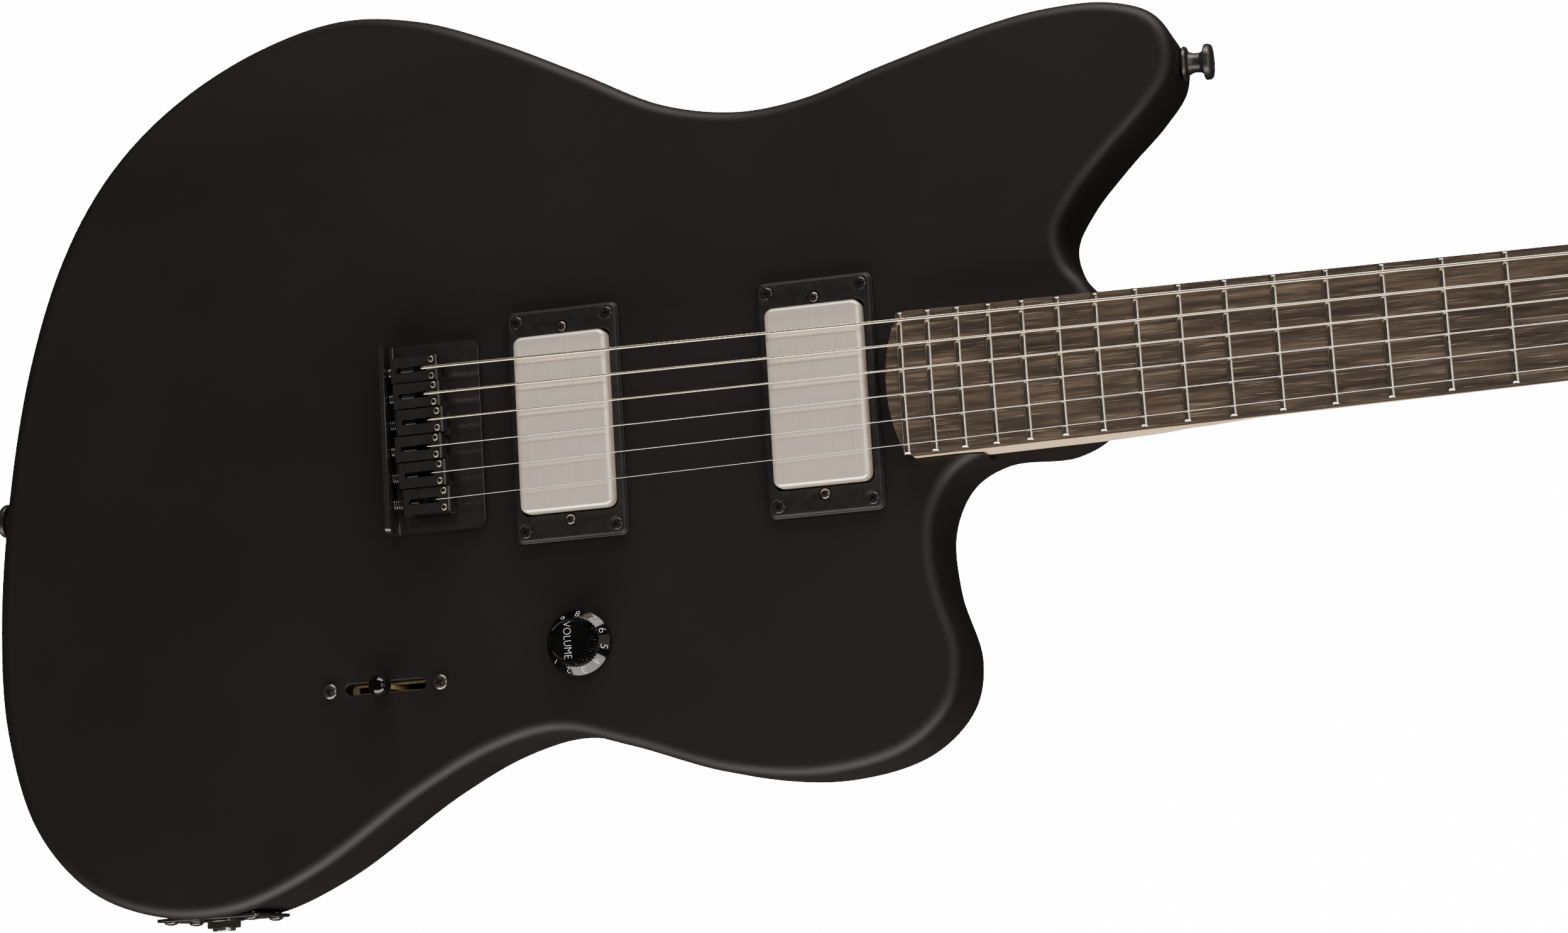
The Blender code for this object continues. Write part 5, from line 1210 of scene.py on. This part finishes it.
def lettering(text, height, width=None):
    """Thin raised letters about the origin, in the x and y plane."""
    curve = bpy.data.curves.new("letters", "FONT")
    curve.body = text
    curve.size = 1.0
    curve.extrude = 0.01
    curve.resolution_u = 4
    curve.offset = -0.03
    helper = bpy.data.objects.new("letters", curve)
    bpy.context.scene.collection.objects.link(helper)
    bpy.context.view_layer.update()
    data = bpy.data.meshes.new_from_object(helper.evaluated_get(bpy.context.evaluated_depsgraph_get()))
    bpy.data.objects.remove(helper)
    mesh = bmesh.new()
    mesh.from_mesh(data)
    bpy.data.meshes.remove(data)
    bmesh.ops.remove_doubles(mesh, verts=mesh.verts, dist=1e-5)
    lows = [min(v.co[axis] for v in mesh.verts) for axis in (0, 1)]
    highs = [max(v.co[axis] for v in mesh.verts) for axis in (0, 1)]
    tall = height / (highs[1] - lows[1])
    wide = width / (highs[0] - lows[0]) if width else tall
    mesh.transform(Matrix.Diagonal((wide, tall, 0.003, 1.0))
                   @ Matrix.Translation((-(lows[0] + highs[0]) / 2, -(lows[1] + highs[1]) / 2, 0)))
    return mesh


def skirt_digit(number):
    """A digit lying on the knob's sloping skirt."""
    angle = math.radians(FIRST_DIGIT_DEGREES + DIGIT_STEP_DEGREES * (number - 1))
    out = Vector((math.cos(angle), math.sin(angle), 0))
    down = out * math.cos(SKIRT_SLOPE) - Vector((0, 0, math.sin(SKIRT_SLOPE)))
    normal = out * math.sin(SKIRT_SLOPE) + Vector((0, 0, math.cos(SKIRT_SLOPE)))
    below_edge = (DIGIT_RADIUS - SKIRT_TOP[0]) * math.tan(SKIRT_SLOPE)
    centre = out * DIGIT_RADIUS + Vector((knob_x, knob_y, FACE_Z + SKIRT_TOP[1] - below_edge))
    digit = lettering(str(number), LETTER_HEIGHT)
    digit.transform(Matrix.Translation(centre + normal * 0.03 * MM)
                    @ Matrix((down.cross(normal), down, normal)).transposed().to_4x4())
    return digit


def make_knob():
    top = high("volume_knob").z - FACE_Z
    crown = [knurled_ring(radius, top + height, depth) for radius, height, depth in KNOB_CROWN]
    skirt = [knurled_ring(*station) for station in KNOB_SKIRT]
    knob = loft([[Vector((0, 0, top - 0.35 * MM))], *crown, *skirt, [Vector((0, 0, 11.8 * MM))]])
    knob.transform(Matrix.Translation((knob_x, knob_y, FACE_Z)))
    piece("volume_knob_fine", knob, "gloss_black_plastic", ("volume_knob",), "volume_knob", 32)
    word = lettering("VOLUME", LETTER_HEIGHT, 14.2 * MM)
    word.transform(Matrix.Translation((knob_x - 0.45 * MM, knob_y, FACE_Z + top - 0.32 * MM))
                   @ Matrix.Rotation(-math.pi / 2, 4, "Z"))
    marks = [skirt_digit(number) for number in range(1, 11)] + [word]
    piece("volume_knob_print", merged(marks), "print_white", (), "volume_knob")


make_knob()


# ---------------- switch

# (across, up) round the switch's tip, as shares of its radius.
TIP_PROFILE = [(0, -0.85), (0.5, -0.85), (0.84, -0.76), (0.98, -0.4), (1.0, 0.02), (0.93, 0.38), (0.71, 0.71),
               (0.38, 0.93), (0, 1.0)]


def make_switch():
    refined("switch_frame", "plated_switch_steel", 0.12 * MM)
    refined("switch_lever", "plated_switch_steel", 0.12 * MM, body="switch_lever")
    x, y = middle("switch_tip").xy
    top = high("switch_tip").z
    radius = (high("switch_tip").x - low("switch_tip").x) / 2
    profile = softened([(radius * across, radius * up) for across, up in TIP_PROFILE], radius * 0.25, 5)
    tip = carved(raw("switch_tip_fine", placed(turned(profile), (x, y, top - radius))),
                 box((x - 2.1 * MM, y - 1.1 * MM, top - 3 * radius), (x + 2.1 * MM, y + 1.1 * MM, top - 1.2 * radius)))
    settled(tip, "gloss_black_plastic", ("switch_tip",), "switch_lever", 50)
    screw_heads("switch_screws", (3.15, 1.75, 1.2, 7),
                [stand((switch_x + side * 23.3 * MM, switch_y, FACE_Z + 0.02 * MM), spin=0.25 + 0.2 * number)
                 for number, side in enumerate((-1, 1))])


make_switch()


# ---------------- output jack and strap buttons

OUT_OF_RIM = (0, -1, 0)
# (radius, height) pairs from the rim outward, in millimetres.
BARREL = mm((0, -26), (8, -26), (8, -0.3), (4.7, -0.3), (4.7, 5.9), (4.45, 6.2), (3.6, 6.2), (3.3, 5.9), (3.3, -24),
            (0, -24))
WASHER = mm((4.8, 0), (8.1, 0), (8.3, 0.2), (8.3, 0.5), (8.1, 0.7), (4.8, 0.7))
JACK_NUT = mm((4.8, 0.75), (4.8, 3.3), (6.6, 3.3), (7.6, 2.9), (7.6, 1.1), (7.0, 0.75))
STRAP_BUTTON = mm((0, -20), (1.2, -18), (1.8, -16), (1.8, 0.3), (6.6, 0.3), (6.8, 1.0), (6.4, 1.9), (4.6, 2.6),
                  (3.8, 4.6), (3.9, 7.0), (4.7, 8.2), (6.6, 8.5), (7.0, 9.0), (7.0, 10.6), (6.3, 11.6), (3.4, 12.0),
                  (3.2, 11.2), (0, 11.2))


def make_jack():
    face = low("jack_plate").y
    plate = placed(slab((0, 0), (46 * MM, 34 * MM), 5 * MM, FIT, 1.7 * MM), jack_place, OUT_OF_RIM)
    plate = rounded(raw("jack_plate_fine", plate), 0.35 * MM, 3, 50)
    bore = rod(5 * MM, -MM, 4 * MM, 48, jack_place, OUT_OF_RIM)
    settled(carved(plate, bore), "satin_black_metal", ("jack_plate",))
    piece("output_jack_barrel", placed(turned(BARREL), jack_place, OUT_OF_RIM), "bright_steel", ("output_jack",))
    hardware = merged([collar(WASHER), hex_nut(JACK_NUT, 7.45 * MM, 0, 5 * MM)])
    piece("output_jack_nut", placed(hardware, (jack_x, face, jack_z), OUT_OF_RIM), "dark_screw", ("output_jack",),
          angle=25)
    screw_heads("jack_plate_screws", (2.9, 1.5, 1.0, 4),
                [stand((x, face + 0.02 * MM, z), OUT_OF_RIM, 0.4 * number)
                 for number, (x, z) in enumerate(four_corners((jack_x, jack_z), 17.5 * MM, 11.5 * MM))])


def make_strap_button(name):
    node = f"strap_button_{name}"
    seat, direction = rim_place(STRAP_AIMS[name])
    button = placed(turned(softened(STRAP_BUTTON, 0.35 * MM, 3)), seat, direction)
    piece(f"{node}_fine", button, "dark_metal", (node,), angle=35)
    head = placed(phillips_head(3.0, 1.0, 0.9, 1), seat + direction * 11.2 * MM, direction, 0.3)
    piece(f"{node}_screw", head, "dark_screw")


make_jack()
make_strap_button("front")
make_strap_button("rear")


# ---------------- tuners

# (radius, height over the flange) round the section of a tuner's nut, in millimetres.
TUNER_NUT = ((3.5, 0), (3.5, 0.9), (5.0, 0.9), (5.6, 0.6), (5.6, 0))
# (distance from the housing, half width, half thickness) along a tuner's key, in millimetres.
KEY_STATIONS = mm((0, 2.0, 2.0), (4.2, 2.0, 2.0), (4.6, 2.9, 2.9), (5.6, 2.9, 2.9), (6.0, 2.2, 2.2),
                  (9.4, 2.1, 2.1), (10.6, 3.0, 2.3), (11.6, 5.2, 2.6), (13.0, 7.6, 3.0), (15.0, 9.0, 3.25),
                  (17.4, 9.2, 3.3), (20.0, 8.6, 3.2), (22.0, 7.2, 2.8), (23.1, 5.0, 2.0), (23.5, 2.6, 1.1))


def make_tuner_post(index):
    name = f"tuner_post_{index + 1}"
    top, bottom = high(name).z, low(name).z
    wrap = top - 2.6 * MM
    waist = 2.75 * MM
    profile = [(0, bottom), (POST_RADIUS, bottom), (POST_RADIUS, HEAD_TOP_Z + 2.2 * MM), (waist, wrap - 2.5 * MM),
               (waist, wrap + 0.7 * MM), (POST_RADIUS, top - 0.8 * MM), (2.6 * MM, top), (0, top)]
    post = carved(raw(f"{name}_fine", turned(softened(profile, 0.3 * MM), 40)),
                  box((-4 * MM, -0.55 * MM, top - 1.6 * MM), (4 * MM, 0.55 * MM, top + MM)))
    post.data.transform(Matrix.Translation((*post_place(index), 0)))
    settled(post, "dark_metal", (name,), name)


def make_tuner(index):
    number = index + 1
    direction = key_direction()
    turn = (Matrix.Translation((*post_place(index), 0))
            @ Matrix.Rotation(math.atan2(direction.y, direction.x), 4, "Z"))
    refined(f"tuner_housing_{number}", "gloss_black_metal", 0.45 * MM)
    flange = HEAD_TOP_Z + 1.6 * MM
    nut = hex_nut([(radius * MM, flange + height * MM) for radius, height in TUNER_NUT], 5.5 * MM,
                  flange - MM, flange + 2 * MM)
    nut.transform(turn)
    screw = phillips_head(1.7, 0.8, 0.6, 0.5)
    screw.transform(turn @ stand((0, 0, low(f"tuner_housing_{number}").z), (0, 0, -1), 0.3 * index))
    piece(f"tuner_nut_{number}", merged([nut, screw]), "dark_metal", angle=25)
    make_tuner_post(index)
    name = f"tuner_key_{number}"
    key = loft([[Vector((along, thick * py, wide * pz)) for py, pz in circle(1.0, 40)]
                for along, wide, thick in KEY_STATIONS])
    key.transform(turn @ Matrix.Translation((3.5 * MM, 0, middle(name).z)))
    piece(f"{name}_fine", key, "dark_metal", (name,), name, 50)


for string in STRINGS:
    make_tuner(string)


# ---------------- back covers and inner parts

def back_screws(name, sizes, places, height, spin):
    """Screws in the back, each turned a little more than the one before."""
    screw_heads(name, sizes, [stand((*at, height), (0, 0, -1), spin * number) for number, at in enumerate(places)])


def make_back():
    refined("neck_plate", "satin_black_metal", 0.4 * MM, drills(bolt_places, 3.7 * MM, -MM, 1.6 * MM, 32))
    back_screws("neck_bolt_heads", (3.4, 1.15, 0.9, 0.3), bolt_places, 1.58 * MM, 0.35)
    left, right = cavity_low.x + 7 * MM, cavity_high.x - 7 * MM
    screw_places = [(left, cavity_low.y + 7 * MM), (right, cavity_low.y + 7 * MM),
                    (left, cavity_high.y - 7 * MM), (right, cavity_high.y - 7 * MM),
                    (cavity_centre[0], cavity_low.y + 3.6 * MM), (cavity_centre[0], cavity_high.y - 3.6 * MM)]
    refined("control_cover", "matte_black_plastic", 0.35 * MM, drills(screw_places, 2.5 * MM, -MM, 1.3 * MM, 32))
    back_screws("control_cover_screws", (2.3, 0.85, 0.7, 0.6), screw_places, 1.28 * MM, 0.5)
    refined("battery", "battery_jacket", 1.2 * MM)
    across = middle("battery")
    snap = turned(softened(mm((0, -0.5), (2.9, -0.5), (2.9, 1.6), (0, 1.6)), 0.4 * MM), 24)
    snaps = copies(snap, [stand((high("battery").x, across.y + side * 6.4 * MM, across.z), (1, 0, 0))
                          for side in (-1, 1)])
    piece("battery_snaps", snaps, "bright_steel")
    refined("volume_pot", "bright_steel", 0.25 * MM)
    for node in ("pot_shaft", "truss_rod"):
        nodes[node].data.materials.clear()
        nodes[node].data.materials.append(finishes["bright_steel"])


make_back()


# ---------------- floor

FLOOR_Z = -0.3 * MM  # just clear of the flat back

floor_mesh = bmesh.new()
floor_mesh.faces.new([floor_mesh.verts.new((x, y, FLOOR_Z)) for x, y in ((-4, -4), (5, -4), (5, 4), (-4, 4))])
floor = raw("floor", floor_mesh)
floor.data.materials.append(finishes["pale_floor"])
glow = finishes["pale_floor"].node_tree.nodes["Principled BSDF"]
glow.inputs["Emission Color"].default_value = (1.0, 1.0, 1.0, 1.0)
glow.inputs["Emission Strength"].default_value = 14.0
floor.visible_glossy = False
floor.visible_diffuse = False
